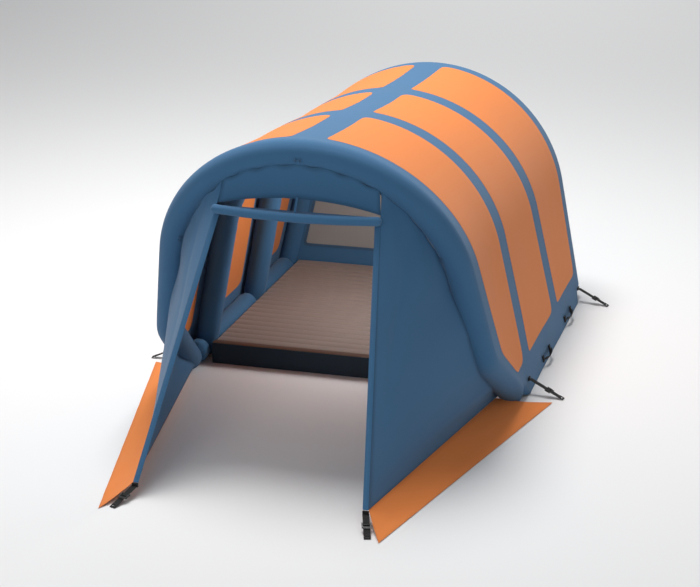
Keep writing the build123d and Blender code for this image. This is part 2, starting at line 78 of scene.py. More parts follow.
# hoop: where its plane meets the ground, lean in degrees, height, half width, leg flare
HOOP_SIZES = ((0.431, -17.2, 1.901, 1.215, 0.182), (1.122, -5.0, 1.817, BASE_HALF, 0.211),
              (2.145, -5.0, 1.746, BASE_HALF, 0.211), (3.026, 5.6, 1.700, BASE_HALF, 0.211))
# below this height the front hoop's legs bend back to their feet, round a soft knee
KNEE_Z, FRONT_FOOT_Y, KNEE_SOFT = 0.473, 0.924, 0.016
BASE_U, RIDGE_U = 0.095, 0.957       # the orange panels' lower and upper edges
PANEL_RADII = (0.036, 0.085)         # their front and rear corners
# widths of the blue bands beside the panels, and the most of a bay that one may take
FRONT_BAND, HOOP_BAND, REAR_BAND, BAND_LIMIT = 0.152, 0.098, 0.125, 0.46
JAMB_FOOT = Vector((0.704, -1.198, 0.082))     # the doorway's right edge
JAMB_HEAD = Vector((0.493, -0.160, 1.590))
WING_FOOT_U, WING_HEAD_U = 0.055, 0.775        # the wing's ends on the front hoop
WING_LIFT = 0.0055       # the wing's laced edge stands this far off the front tube
# how far forward of the hoop's inner face the porch is laced on, in degrees, at fractions of
# the way from the ground to the ridge
LACING_ANGLES = ((0.0, 45.0), (0.06, 45.0), (0.13, 80.0), (0.3, 78.0), (0.45, 40.0),
                 (0.6, 42.0), (0.7, 60.0), (0.8, 76.0), (1.0, 81.0))
TOGGLE_AHEAD = 16.0
CLOTH_T = 0.0022         # drawn thickness of a single cloth


# ------------------------------------------------------------------ small helpers
def place(p):
    """A point of the tent's own layout, in the row frame."""
    return Vector((p[0], p[1] - ORIGIN_Y, p[2]))


def smooth(t):
    t = min(max(t, 0.0), 1.0)
    return t * t * (3 - 2 * t)


def lerp(a, b, t):
    return a + (b - a) * t


def sweep(count_t, count_s, point):
    """Rows of points from a function of two fractions: t from row to row, s along a row."""
    return [[point(i / count_t, k / count_s) for k in range(count_s + 1)]
            for i in range(count_t + 1)]


def turned(rows, turn=True):
    """The same rows, each read from its other end, so that the sheet faces the other way."""
    return [row[::-1] for row in rows] if turn else rows


def wobble(p, size, seed=0.0):
    """Smooth noise from -1 to 1 with features of this size."""
    return noise.noise(Vector((p[0] / size + seed, p[1] / size - seed, p[2] / size)))


def new_object(name, verts, faces, material, body, uvs, edge=None, sharp=40.0):
    """A mesh object that rides on a CAD body.

    uvs and edge, the distance to the cloth's nearest edge, are in metres, one for each vertex.
    A piece without edge takes no hem stitches or painted edge shade."""
    mesh = bpy.data.meshes.new(name)
    mesh.from_pydata([tuple(v) for v in verts], [], faces)
    layer = mesh.uv_layers.new(name="UVMap")
    index = np.zeros(len(mesh.loops), np.int32)
    mesh.loops.foreach_get("vertex_index", index)
    layer.data.foreach_set("uv", np.asarray(uvs, np.float32)[index].ravel())
    edge = np.ones(len(verts)) if edge is None else edge
    attribute = mesh.attributes.new("edge", "FLOAT", "POINT")
    attribute.data.foreach_set("value", np.asarray(edge, np.float32))
    mesh.validate()
    mesh.polygons.foreach_set("use_smooth", [True] * len(mesh.polygons))
    mesh.set_sharp_from_angle(angle=math.radians(sharp))
    mesh.update()
    obj = bpy.data.objects.new(name, mesh)
    bpy.context.scene.collection.objects.link(obj)
    mesh.materials.append(material)
    if body:
        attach(obj, body)
    return obj


def grid_normals(points):
    """Unit normals of a grid of points, along columns x rows."""
    p = np.asarray(points, float)
    along_rows = np.gradient(p, axis=0)
    along_cols = np.gradient(p, axis=1)
    n = np.cross(along_cols, along_rows)
    return n / np.maximum(np.linalg.norm(n, axis=2, keepdims=True), 1e-12)


def shell(name, grid, thickness, material, body="tent", uv=None, edge=None, lift=None):
    """A closed thin sheet through a grid of points, its second face below the first.

    lift is how far each face stands off the grid outwards, as (outer, inner) arrays."""
    p = np.asarray([[tuple(v) for v in row] for row in grid], float)
    rows, cols = p.shape[:2]
    normals = grid_normals(p)
    outer, inner = p.copy(), p - normals * thickness
    if lift is not None:
        outer += normals * lift[0][:, :, None]
        inner -= normals * lift[1][:, :, None]
    count = rows * cols
    verts = np.concatenate([outer.reshape(-1, 3), inner.reshape(-1, 3)])
    faces = []
    for r in range(rows - 1):
        for c in range(cols - 1):
            a = r * cols + c
            b, d, e = a + 1, a + cols + 1, a + cols
            faces.append((a, b, d, e))
            faces.append((a + count, e + count, d + count, b + count))
    rim = ([(0, c) for c in range(cols)] + [(r, cols - 1) for r in range(1, rows)]
           + [(rows - 1, c) for c in range(cols - 2, -1, -1)]
           + [(r, 0) for r in range(rows - 2, 0, -1)])
    for (r0, c0), (r1, c1) in zip(rim, rim[1:] + rim[:1]):
        a, b = r0 * cols + c0, r1 * cols + c1
        faces.append((a, a + count, b + count, b))
    if uv is None:
        steps_r = np.linalg.norm(np.diff(p, axis=0), axis=2).mean(axis=1)
        steps_c = np.linalg.norm(np.diff(p, axis=1), axis=2).mean(axis=0)
        y, x = np.concatenate([[0], steps_r.cumsum()]), np.concatenate([[0], steps_c.cumsum()])
        uv = np.stack(np.broadcast_arrays(x[None, :], y[:, None]), axis=2)
    flat_uv = np.tile(np.asarray(uv, float).reshape(-1, 2), (2, 1))
    if edge is None:
        y, x = uv[:, :, 1], uv[:, :, 0]
        edge = np.minimum(np.minimum(x - x.min(), x.max() - x),
                          np.minimum(y - y.min(), y.max() - y))
    obj = new_object(name, verts, faces, material, body, flat_uv,
                     np.tile(np.asarray(edge, float).ravel(), 2))
    obj["flat_area"] = float(sheet_area(p))
    return obj


def sheet_area(p):
    a, b = p[:-1, :-1], p[1:, 1:]
    c, d = p[1:, :-1], p[:-1, 1:]
    return 0.5 * np.linalg.norm(np.cross(b - a, c - d), axis=2).sum()


def declare(obj, width, length):
    """The smaller of a shell's drawn area and its own measured cut size; the result is not kept."""
    area = min(obj["flat_area"], width * length)


def tube(name, centres, radii, material, body="tent", ends="round", segments=40, up=None,
         ripple=None):
    """A tube along a list of points; ends are round, flat or open; ripple(i, angle) adds to r."""
    pts = [Vector(c) for c in centres]
    count = len(pts)
    tangents = [(pts[min(i + 1, count - 1)] - pts[max(i - 1, 0)]).normalized()
                for i in range(count)]
    reference = (Vector(up) if up else tangents[0].orthogonal()).normalized()
    rings, run = [], 0.0
    for i, (p, t) in enumerate(zip(pts, tangents)):
        reference = (reference - t * reference.dot(t)).normalized()
        if i:
            run += (p - pts[i - 1]).length
        rings.append((p, t, reference.copy(), t.cross(reference), radii[i], run, i))
    caps = []
    if ends == "round":
        steps = 9
        for end in (0, -1):
            p, t, a, b, r, run, i = rings[end]
            out = -t if end == 0 else t
            caps.append([(p + out * r * math.sin(k * math.pi / 2 / steps), t, a, b,
                          r * math.cos(k * math.pi / 2 / steps), run, i)
                         for k in range(1, steps)])
        tips = [rings[0][0] - tangents[0] * radii[0], rings[-1][0] + tangents[-1] * radii[-1]]
        rings = caps[0][::-1] + rings + caps[1]
    else:
        tips = [rings[0][0], rings[-1][0]]
    verts, uvs = [], []
    for p, t, a, b, r, run, i in rings:
        for k in range(segments):
            angle = 2 * math.pi * k / segments
            extra = ripple(i, angle) if ripple else 0.0
            verts.append(p + (a * math.cos(angle) + b * math.sin(angle))
                         * (r + extra * (r > 0.02)))
            uvs.append((angle * radii[0], run))
    faces = []
    for j in range(len(rings) - 1):
        for k in range(segments):
            k2 = (k + 1) % segments
            faces.append((j * segments + k, (j + 1) * segments + k,
                          (j + 1) * segments + k2, j * segments + k2)[::-1])
    if ends != "open":
        last = (len(rings) - 1) * segments
        verts += tips
        uvs += [(0, 0), (0, 0)]
        for k in range(segments):
            k2 = (k + 1) % segments
            faces.append((len(verts) - 2, k2, k)[::-1])
            faces.append((len(verts) - 1, last + k, last + k2)[::-1])
    return new_object(name, verts, faces, material, body, uvs)


def boxes(name, items, material, body="tent", bevel=0.0015, segments=2):
    """Bevelled blocks in one piece; each item is (centre, x axis, y axis, size)."""
    verts, faces, uvs = [], [], []
    for centre, ax, ay, size in items:
        ax, ay = Vector(ax).normalized(), Vector(ay).normalized()
        az = ax.cross(ay)
        base = len(verts)
        for sx in (-0.5, 0.5):
            for sy in (-0.5, 0.5):
                for sz in (-0.5, 0.5):
                    verts.append(Vector(centre) + ax * sx * size[0] + ay * sy * size[1]
                                 + az * sz * size[2])
                    uvs.append((sx * size[0], sy * size[1]))
        for f in ((0, 1, 3, 2), (4, 6, 7, 5), (0, 4, 5, 1), (2, 3, 7, 6), (0, 2, 6, 4),
                  (1, 5, 7, 3)):
            faces.append(tuple(base + k for k in f))
    obj = new_object(name, verts, faces, material, body, uvs)
    modifier = obj.modifiers.new("bevel", "BEVEL")
    modifier.width, modifier.segments = bevel, segments
    modifier.limit_method = "ANGLE"
    return obj


def join(name, objects):
    """One object from several, with their modifiers applied."""
    depsgraph = bpy.context.evaluated_depsgraph_get()
    body = objects[0]["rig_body"]
    for o in objects:
        if o.modifiers:
            baked = bpy.data.meshes.new_from_object(o.evaluated_get(depsgraph))
            o.modifiers.clear()
            o.data = baked
    with bpy.context.temp_override(active_object=objects[0], selected_editable_objects=objects):
        bpy.ops.object.join()
    objects[0].name = name
    objects[0]["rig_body"] = body
    return objects[0]


def stand_for(obj, slot, *nodes):
    """Hide these CAD nodes behind a piece; the piece and the slot are not used."""
    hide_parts(*nodes)


# ------------------------------------------------------------------ materials
class Nodes:
    """A short way to wire up a material."""

    def __init__(self, name):
        self.material = bpy.data.materials.new(name)
        self.material.use_nodes = True
        self.tree = self.material.node_tree
        self.shader = self.tree.nodes["Principled BSDF"]

    def add(self, kind, inputs=None, **settings):
        node = self.tree.nodes.new("ShaderNode" + kind)
        for key, value in settings.items():
            setattr(node, key, value)
        for key, value in (inputs or {}).items():
            if isinstance(value, bpy.types.NodeSocket):
                self.tree.links.new(value, node.inputs[key])
            else:
                node.inputs[key].default_value = value
        return node

    def math(self, operation, a, b=0.0, c=0.0):
        return self.add("Math", {0: a, 1: b, 2: c}, operation=operation).outputs[0]

    def mix(self, factor, a, b):
        node = self.add("Mix", {0: factor, 6: a, 7: b}, data_type="RGBA")
        return node.outputs[2]

    def surface(self, tint, rough, height, strength, distance):
        """Give the shader its colour, roughness and bump."""
        bump = self.add("Bump", {"Height": height, "Strength": strength, "Distance": distance})
        for socket, source in (("Base Color", tint), ("Roughness", rough),
                               ("Normal", bump.outputs[0])):
            self.tree.links.new(source, self.shader.inputs[socket])


def colour(r, g, b):
    return (r, g, b, 1.0)


def scaled(rgb, factor):
    return colour(*[min(c * factor, 1) for c in rgb])


def fabric(name, base, pitch=0.0011, weave=0.25, variation=0.10, roughness=0.82, sheen=0.12,
           stitches=(), thread=None, alpha=1.0, twill=False, edge_shade=0.0):
    """Woven cloth: a weave bump in metres on the UV map, soft colour changes, stitch rows and
    painted shade that darkens the cloth near its edges.
    """
    n = Nodes(name)
    uv = n.add("UVMap", uv_map="UVMap").outputs[0]
    parts = n.add("SeparateXYZ", {0: uv})
    x, y = parts.outputs[0], parts.outputs[1]
    wave = 2 * math.pi / pitch
    if twill:
        diagonal = n.math("ADD", n.math("MULTIPLY", x, wave), n.math("MULTIPLY", y, wave * 0.6))
        height = n.math("SINE", diagonal)
    else:
        height = n.math("MULTIPLY", n.math("SINE", n.math("MULTIPLY", x, wave)),
                        n.math("SINE", n.math("MULTIPLY", y, wave)))
    position = n.add("TexCoord").outputs["Object"]
    broad = n.add("TexNoise", {"Vector": position, "Scale": 2.2, "Detail": 3.0}).outputs[0]
    fine = n.add("TexNoise", {"Vector": position, "Scale": 260.0, "Detail": 2.0}).outputs[0]
    tint = n.mix(n.math("ADD", n.math("MULTIPLY", broad, 0.65), n.math("MULTIPLY", fine, 0.35)),
                 scaled(base, 1 - variation), scaled(base, 1 + variation))
    edge = n.add("Attribute", attribute_name="edge").outputs["Fac"]
    # painted shade: the colour darkens within 3 cm of the cloth's edges, standing in for the shadow
    # that falls there
    if edge_shade:
        rim = n.add("MapRange", {0: edge, 1: 0.0, 2: 0.03, 3: edge_shade, 4: 0.0}).outputs[0]
        tint = n.mix(rim, tint, scaled(base, 0.45))
    stitch = None
    if stitches:
        dash = n.math("GREATER_THAN", n.math("SINE", n.math(
            "MULTIPLY", n.math("ADD", x, y), 2 * math.pi / 0.0055)), -0.35)
        for row in stitches:
            near = n.math("LESS_THAN", n.math("ABSOLUTE", n.math("SUBTRACT", edge, row)), 0.0006)
            stitch = near if stitch is None else n.math("MAXIMUM", stitch, near)
        stitch = n.math("MULTIPLY", stitch, dash)
        tint = n.mix(stitch, tint, colour(*thread) if thread else scaled(base, 0.55))
        height = n.math("ADD", height, n.math("MULTIPLY", stitch, 2.5))
    rough = n.add("MapRange", {0: broad, 1: 0.3, 2: 0.7, 3: roughness - 0.06, 4: roughness + 0.06})
    n.surface(tint, rough.outputs[0], height, weave, 0.0003)
    n.shader.inputs["Sheen Weight"].default_value = sheen
    n.shader.inputs["Sheen Roughness"].default_value = 0.5
    n.shader.inputs["Specular IOR Level"].default_value = 0.25
    n.shader.inputs["Alpha"].default_value = alpha
    return n.material


def plastic(name, base, roughness=0.42):
    """Moulded plastic with a fine spark-eroded grain."""
    n = Nodes(name)
    position = n.add("TexCoord").outputs["Object"]
    grain = n.add("TexNoise", {"Vector": position, "Scale": 900.0, "Detail": 3.0}).outputs[0]
    broad = n.add("TexNoise", {"Vector": position, "Scale": 30.0, "Detail": 2.0}).outputs[0]
    tint = n.mix(broad, colour(*base), scaled(base, 1.5))
    rough = n.add("MapRange", {0: grain, 1: 0.2, 2: 0.8, 3: roughness - 0.08, 4: roughness + 0.08})
    n.surface(tint, rough.outputs[0], grain, 0.15, 0.0002)
    return n.material


BLUE = (0.048, 0.147, 0.284)
ORANGE = (0.765, 0.222, 0.044)
blue = fabric("blue_cloth", BLUE)
blue_hem = fabric("blue_cloth_hemmed", BLUE, stitches=(0.006, 0.012))
# the laced cloth has painted shade along its edges, for the front tube's shadow over the wings and
# valance
blue_laced = fabric("blue_cloth_laced", BLUE, stitches=(0.006, 0.012), edge_shade=0.55)
blue_tube = fabric("blue_tube_sleeve", BLUE, pitch=0.0013, variation=0.08)
orange = fabric("orange_cloth", ORANGE, stitches=(0.0045, 0.0095), thread=(0.62, 0.17, 0.05),
                variation=0.05)
# the skirts have a little painted shade along their edges
orange_skirt = fabric("orange_skirt_cloth", ORANGE, stitches=(0.010,), thread=(0.62, 0.17, 0.05),
                      variation=0.05, edge_shade=0.18)
taupe = fabric("taupe_floor_cloth", (0.225, 0.185, 0.165), pitch=0.0016, weave=0.4,
               variation=0.14, roughness=0.9, sheen=0.2)
navy = fabric("navy_floor_cloth", (0.016, 0.030, 0.046), pitch=0.0014, roughness=0.7)
brown = fabric("brown_trim_cloth", (0.070, 0.033, 0.018), pitch=0.0012, roughness=0.6,
               stitches=(0.008,), thread=(0.13, 0.07, 0.04))
mesh_cloth = fabric("grey_insect_mesh", (0.290, 0.292, 0.280), pitch=0.0024, weave=0.8,
                    variation=0.16, alpha=0.86)
binding_tape = fabric("window_binding_tape", (0.050, 0.115, 0.205), pitch=0.0014, twill=True)
webbing = fabric("black_webbing", (0.009, 0.009, 0.009), pitch=0.0028, weave=0.9,
                 variation=0.3, roughness=0.66, sheen=0.03, twill=True, stitches=(0.003,),
                 thread=(0.05, 0.05, 0.05))
black_plastic = plastic("black_moulded_plastic", (0.008, 0.008, 0.008))


# ------------------------------------------------------------------ hoops and the skin
class Hoop:
    """A hoop's outline in its own leaning plane: straight flared legs and one round top."""

    def __init__(self, base_y, lean, height, half, flare, kneed=False):
        self.base_y, self.half, self.flare, self.kneed = base_y, half, flare, kneed
        self.lean, self.slope = math.radians(lean), math.atan(flare)
        self.top = height / math.cos(self.lean)
        span = math.cos(self.slope) + flare * math.sin(self.slope) - flare
        self.radius = (half - flare * self.top) / span
        self.centre = self.top - self.radius
        self.shoulder = self.centre + self.radius * math.sin(self.slope)
        self.leg = math.hypot(flare * self.shoulder, self.shoulder)
        self.length = self.leg + self.radius * (math.pi / 2 - self.slope)

    def stand(self, x, h):
        z = h * math.cos(self.lean)
        y = self.base_y + h * math.sin(self.lean)
        if self.kneed:
            knee_y = self.base_y + KNEE_Z / math.cos(self.lean) * math.sin(self.lean)
            low = knee_y + (FRONT_FOOT_Y - knee_y) * (1 - z / KNEE_Z)
            y = (y + low) / 2 + math.hypot((y - low) / 2, KNEE_SOFT)
        return Vector((x, y, z))

    def foot_u(self, clearance):
        """Where along the hoop a tube's inset centreline stands this high above the ground."""
        h = clearance / math.cos(self.lean) + TUBE_INSET * math.sin(self.slope)
        return h / self.shoulder * self.leg / self.length

    def at(self, u, inset=0.0):
        side = 1 if u <= 1 else -1
        s = min(u, 2 - u) * self.length
        if s < self.leg:
            h = self.shoulder * s / self.leg
            x, angle = self.half - self.flare * h, self.slope
        else:
            angle = self.slope + (s - self.leg) / self.radius
            x = self.radius * math.cos(angle)
            h = self.centre + self.radius * math.sin(angle)
        return self.stand(side * (x - inset * math.cos(angle)), h - inset * math.sin(angle))


HOOPS = [Hoop(*size, kneed=(i == 0)) for i, size in enumerate(HOOP_SIZES)]
FRONT, REAR = HOOPS[0], HOOPS[3]


def cubic(start, end, leaving, arriving, t):
    """A smooth curve between two values with the given slopes at its ends."""
    return ((2 * t**3 - 3 * t**2 + 1) * start + (t**3 - 2 * t**2 + t) * leaving
            + (3 * t**2 - 2 * t**3) * end + (t**3 - t**2) * arriving)


def eased(before, after):
    """A slope between two steps that never overshoots either of them."""
    return 0.0 if before * after <= 0 else 2 * before * after / (before + after)


def skin(u, v):
    """The canopy's outer face: u over the tent from right to left, v from front to rear."""
    rows = [hoop.at(u) for hoop in HOOPS]
    bay = min(max(int(v), 0), 2)
    t = v - bay
    point = []
    for axis in range(3):
        c = [row[axis] for row in rows]
        steps = [c[1] - c[0], c[2] - c[1], c[3] - c[2]]
        slopes = [steps[0], eased(steps[0], steps[1]), eased(steps[1], steps[2]), steps[2]]
        point.append(cubic(c[bay], c[bay + 1], slopes[bay], slopes[bay + 1], t))
    return Vector(point)


def skin_frame(u, v):
    """The point, outward normal and rearward direction of the canopy."""
    p = skin(u, v)
    across = skin(min(u + 0.008, 1.999), v) - skin(max(u - 0.008, 0.001), v)
    along = skin(u, min(v + 0.01, 3)) - skin(u, max(v - 0.01, 0))
    return p, along.cross(across).normalized(), along.normalized()


def slack(u, v):
    """How far the cloth sinks between the hoops, and its slight unevenness."""
    t = v - math.floor(min(v, 2.999))
    between = math.sin(math.pi * t) ** 2
    height = math.sin(math.pi * min(u, 2 - u) / 2)
    dip = 0.007 * between * (0.35 + 0.65 * height)
    p = skin(u, v)
    drawn = 0.0010 * wobble((p.x, p.y, p.z), 0.22, 3.7) + 0.0004 * wobble(p, 0.07, 9.1)
    return dip + drawn * (0.35 + between)


def cloth_point(u, v, lift=0.0):
    p, n, _ = skin_frame(u, v)
    q = p + n * (lift - slack(u, v))
    return Vector((q.x, q.y, max(q.z, GROUND)))


def bay_length(u, bay):
    return (HOOPS[bay + 1].at(u) - HOOPS[bay].at(u)).length


def front_edge(u, bay):
    width = FRONT_BAND if bay == 0 else HOOP_BAND
    return bay + min(width / bay_length(u, bay), BAND_LIMIT)


def rear_edge(u, bay):
    width = REAR_BAND if bay == 2 else HOOP_BAND
    return bay + 1 - min(width / bay_length(u, bay), BAND_LIMIT)


def sleeve_frame(hoop, u, rearward):
    """Centre of a hoop tube and the two directions of its section: away and along the cloth."""
    foot_u = hoop.foot_u(SLEEVE_R + GROUND)
    uc = min(max(u, foot_u), 2 - foot_u)
    centre = hoop.at(uc, TUBE_INSET)
    tangent = (hoop.at(min(uc + 0.006, 2), TUBE_INSET)
               - hoop.at(max(uc - 0.006, 0), TUBE_INSET)).normalized()
    outward = hoop.at(uc, 0) - centre
    d = rearward - tangent * rearward.dot(tangent)
    d.normalize()
    n = outward - tangent * outward.dot(tangent)
    n = (n - d * n.dot(d)).normalized()
    return centre, n, d


WRAP = [math.radians(a) for a in (62, 50, 38, 27, 17, 8, 0)]   # round the tube
FLAT_STEPS = 7                                                 # from the tube to the canopy


def sleeve_profile(hoop, u, inner_v):
    """Points from the sleeve's tucked edge, over the tube, to the canopy at inner_v."""
    v0 = 0.0 if hoop is FRONT else 3.0
    sign = 1 if hoop is FRONT else -1
    target = cloth_point(u, inner_v)
    _, _, along_t = skin_frame(u, inner_v)
    centre, n, d = sleeve_frame(hoop, u, target - skin(u, v0))
    points = []
    # below the foot's centre, the cloth follows the tube's round end down to the ground
    share = min(u, 2 - u) / hoop.foot_u(SLEEVE_R + GROUND)
    drop = max(1 - share, 0) * (centre.z - GROUND)
    around = math.sqrt(max(1 - (drop / TUBE_INSET) ** 2, 0.12))
    for angle in WRAP:
        sink = 0.0035 * smooth(angle / WRAP[0])
        r = (TUBE_INSET - 0.0008 - sink) * around
        q = centre + (n * math.cos(angle) - d * math.sin(angle)) * r - Vector((0, 0, drop))
        points.append(q)
    begin = points[-1]
    length = (target - begin).length
    for i in range(1, FLAT_STEPS):
        points.append(cubic(begin, target, d * length, along_t * sign * length, i / FLAT_STEPS))
    fixed = []
    for q in points:                     # never inside the tube or under the ground
        reach = q - centre
        if q.z < GROUND + 0.001 or reach.length < TUBE_INSET - 0.005:
            q = centre + reach.normalized() * max(reach.length, TUBE_INSET - 0.004)
        fixed.append(Vector((q.x, q.y, max(q.z, GROUND))))
    return fixed


# ------------------------------------------------------------------ canopy
U_ROWS = 176


def canopy_sheet():
    """The whole blue canopy, one sheet, tucked round the front and rear tubes."""
    rows = []
    for i in range(U_ROWS + 1):
        u = 0.001 + 1.998 * i / U_ROWS
        v_first, v_last = front_edge(u, 0), rear_edge(u, 2)
        row = sleeve_profile(FRONT, u, v_first)
        stops = [v_first]
        for bay in range(3):
            a = v_first if bay == 0 else bay
            b = v_last if bay == 2 else bay + 1
            stops += [a + (b - a) * k / 14 for k in range(1, 15)]
        row += [cloth_point(u, v) for v in stops]
        row += sleeve_profile(REAR, u, v_last)[::-1]
        rows.append([place(p) for p in row])
    obj = shell("canopy", rows, SKIN_T, blue_hem)
    stand_for(obj, "blue_fabric", "canopy_band_front", "canopy_band_second",
              "canopy_band_third", "canopy_band_rear", "canopy_ridge", "canopy_base_left",
              "canopy_base_right")
    declare(obj, 3.8, 5.0)


def bezier_corner(a, corner, b, t):
    return ((a[0] * (1 - t)**2 + 2 * corner[0] * t * (1 - t) + b[0] * t**2),
            (a[1] * (1 - t)**2 + 2 * corner[1] * t * (1 - t) + b[1] * t**2))


def panel_outline(bay):
    """The panel's front, rear, lower and upper edges in (u, v), and their lengths."""
    ends, edges = (BASE_U, RIDGE_U), (front_edge, rear_edge)
    corner = [[(u, edge(u, bay)) for edge in edges] for u in ends]
    across = HOOPS[bay].length * (RIDGE_U - BASE_U)
    widths = [bay_length(u, bay) * (row[1][1] - row[0][1]) for u, row in zip(ends, corner)]

    def along_hoop(j, t):
        u = lerp(BASE_U, RIDGE_U, t)
        return (u, edges[j](u, bay))

    def over_bay(i, t):
        return (ends[i], lerp(corner[i][0][1], corner[i][1][1], t))

    def rounded(curve, length, radii, corners, others):
        """The curve between the middles of its two corner arcs."""
        (r0, r1), (c0, c1), (o0, o1) = radii, corners, others

        def at(t):
            s = t * length
            if s < r0:
                return bezier_corner(o0, c0, curve(r0 / length), 0.5 + 0.5 * s / r0)
            if s > length - r1:
                return bezier_corner(curve(1 - r1 / length), c1, o1, 0.5 * (s - length + r1) / r1)
            return curve(s / length)
        return at

    curves = []
    for j, r in enumerate(PANEL_RADII):
        others = [over_bay(i, 1 - r / w if j else r / w) for i, w in enumerate(widths)]
        curves.append(rounded(lambda t, j=j: along_hoop(j, t), across, (r, r),
                              (corner[0][j], corner[1][j]), others))
    for i, w in enumerate(widths):
        others = [along_hoop(j, 1 - r / across if i else r / across)
                  for j, r in enumerate(PANEL_RADII)]
        curves.append(rounded(lambda t, i=i: over_bay(i, t), w, PANEL_RADII, corner[i], others))
    return curves, across, widths


def spread(length, count):
    """Fractions from 0 to 1 that crowd close to both ends, for hems."""
    near = [0, 0.0025, 0.006, 0.011, 0.019, 0.033]
    inner = [near[-1] + (length - 2 * near[-1]) * k / count for k in range(1, count)]
    return [d / length for d in near + inner + [length - d for d in near[::-1]]]


def panel(bay, side, where):
    """An orange canopy panel sewn into the blue, standing a little proud of it on both faces."""
    (front, rear, bottom, top), across, (low, high) = panel_outline(bay)
    corner = [[front(0), rear(0)], [front(1), rear(1)]]

    def cell(s, t):
        """A point in the panel, its distance from the nearest edge and its place on the cloth."""
        f, r, b, h = front(s), rear(s), bottom(t), top(t)
        u, v = [(1 - t) * f[k] + t * r[k] + (1 - s) * b[k] + s * h[k]
                - ((1 - s) * ((1 - t) * corner[0][0][k] + t * corner[0][1][k])
                   + s * ((1 - t) * corner[1][0][k] + t * corner[1][1][k])) for k in range(2)]
        width = lerp(low, high, s)
        distance = min(s * across, (1 - s) * across, t * width, (1 - t) * width)
        point = place(cloth_point(u if side > 0 else 2 - u, v))
        return point, distance, (t * width, s * across)

    us, vs = spread(across, 54), spread((low + high) / 2, 16)
    cells = [[cell(s, t) for t in vs] for s in us][::side]
    rows, edges, uv = [[[c[k] for c in row] for row in cells] for k in range(3)]
    edges = np.array(edges)
    stand = 0.0002 + 0.0014 * np.clip(edges / 0.004, 0, 1) ** 0.5
    obj = shell(f"panel_{where}_{'right' if side > 0 else 'left'}_cloth", rows, SKIN_T, orange,
                uv=np.array(uv), edge=edges, lift=(stand, stand))
    stand_for(obj, "orange_fabric", f"panel_{where}_{'right' if side > 0 else 'left'}")
    declare(obj, (low + high) / 2, across)


canopy_sheet()
for bay, where in enumerate(("front", "middle", "rear")):
    for side in (1, -1):
        panel(bay, side, where)


# ------------------------------------------------------------------ air frame
def hoop_mesh(name, hoop, radius, node):
    """An air tube in its sleeve; the cloth gathers a little on the inside of the bend."""
    foot_u = hoop.foot_u(radius + GROUND + 0.0015)
    count = 230
    us = [lerp(foot_u, 2 - foot_u, i / count) for i in range(count + 1)]
    centres = [place(hoop.at(u, TUBE_INSET)) for u in us]
    bend_u = hoop.leg / hoop.length

    def ripple(i, angle):
        u = min(us[i], 2 - us[i])
        inner = max(-math.cos(angle), 0.0) ** 1.5
        bent = smooth((u - bend_u + 0.12) / 0.12)
        if hoop.kneed:
            bent = max(bent, 0.6 * smooth(1 - abs(u - 0.2) / 0.1))
        gathers = math.sin(us[i] * hoop.length * 2 * math.pi / 0.085 + 2 * math.sin(angle))
        soft = wobble((us[i] * 6, angle * 0.4, hoop.base_y), 0.5)
        return 0.0011 * inner * bent * gathers + 0.0009 * soft - 0.0006

    obj = tube(name, centres, [radius] * len(us), blue_tube, segments=56, ripple=ripple,
               up=hoop.at(us[0], 0) - hoop.at(us[0], TUBE_INSET))
    stand_for(obj, "blue_fabric", node)


for hoop, where, radius in zip(HOOPS, ("front", "second", "third", "rear"),
                               (SLEEVE_R, TUBE_R, TUBE_R, SLEEVE_R - 0.001)):
    hoop_mesh(where + "_tube", hoop, radius, "hoop_tube_" + where)


def base_tube_mesh(side, where):
    """The three short tubes on the ground along one side, with gathered round ends."""
    pieces = []
    z = TUBE_R + 0.001
    legs = [hoop.at(hoop.foot_u(z), TUBE_INSET) for hoop in HOOPS]
    x = legs[1].x + 0.006
    for k, (near, far) in enumerate(zip(legs, legs[1:])):
        length = far.y - near.y - 2 * (TUBE_R + 0.004)
        stops = [near.y + TUBE_R + 0.004, far.y - TUBE_R - 0.004]
        count = 8 if length < 2 * TUBE_R else 40
        rounding = min(0.072, 0.4 * length)
        centres, radii = [], []
        for i in range(count + 1):
            y = lerp(*stops, i / count)
            from_end = min(y - stops[0], stops[1] - y)
            drop = max(rounding - from_end, 0) / rounding
            centres.append(place((side * x, y, z)))
            radii.append((TUBE_R - 0.0015) * (1 - 0.62 * (1 - math.sqrt(max(1 - drop**2, 0)))))

        def ripple(i, angle, count=count, length=length):
            share = i / count
            from_end = min(share, 1 - share) * length
            return 0.0013 * math.cos(angle * 14) * max(1 - from_end / 0.11, 0)
        pieces.append(tube(f"base_part_{where}_{k}", centres, radii, blue_tube, ends="flat",
                           segments=56, ripple=ripple))
    obj = join(f"ground_tubes_{where}", pieces)
    stand_for(obj, "blue_fabric", "base_tubes_" + where)


base_tube_mesh(1, "right")
base_tube_mesh(-1, "left")


# ------------------------------------------------------------------ rear wall and window
def wall_outline(inset):
    """Half width of the inside of the rear hoop at each height of its own plane."""
    r = REAR.radius - inset
    half = REAR.half - inset / math.cos(REAR.slope)
    join_h = REAR.centre + r * math.sin(REAR.slope)

    def half_width(h):
        if h < join_h:
            return half - REAR.flare * h
        return math.sqrt(max(r * r - (h - REAR.centre) ** 2, 0.0))
    return half_width, REAR.centre + r


WALL_Y = REAR.base_y - 0.058
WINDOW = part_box("rear_window_mesh")
SILL_H = WINDOW[0].z / math.cos(REAR.lean)
HEAD_H = WINDOW[1].z / math.cos(REAR.lean)
WINDOW_INSET = TUBE_INSET + TUBE_R + 0.014
CORNER_R = 0.030
WINDOW_LAP = 0.012       # the mesh's edge that is sewn behind the wall
WALL_TUCK = 0.016        # how far the wall reaches under the hoop tube


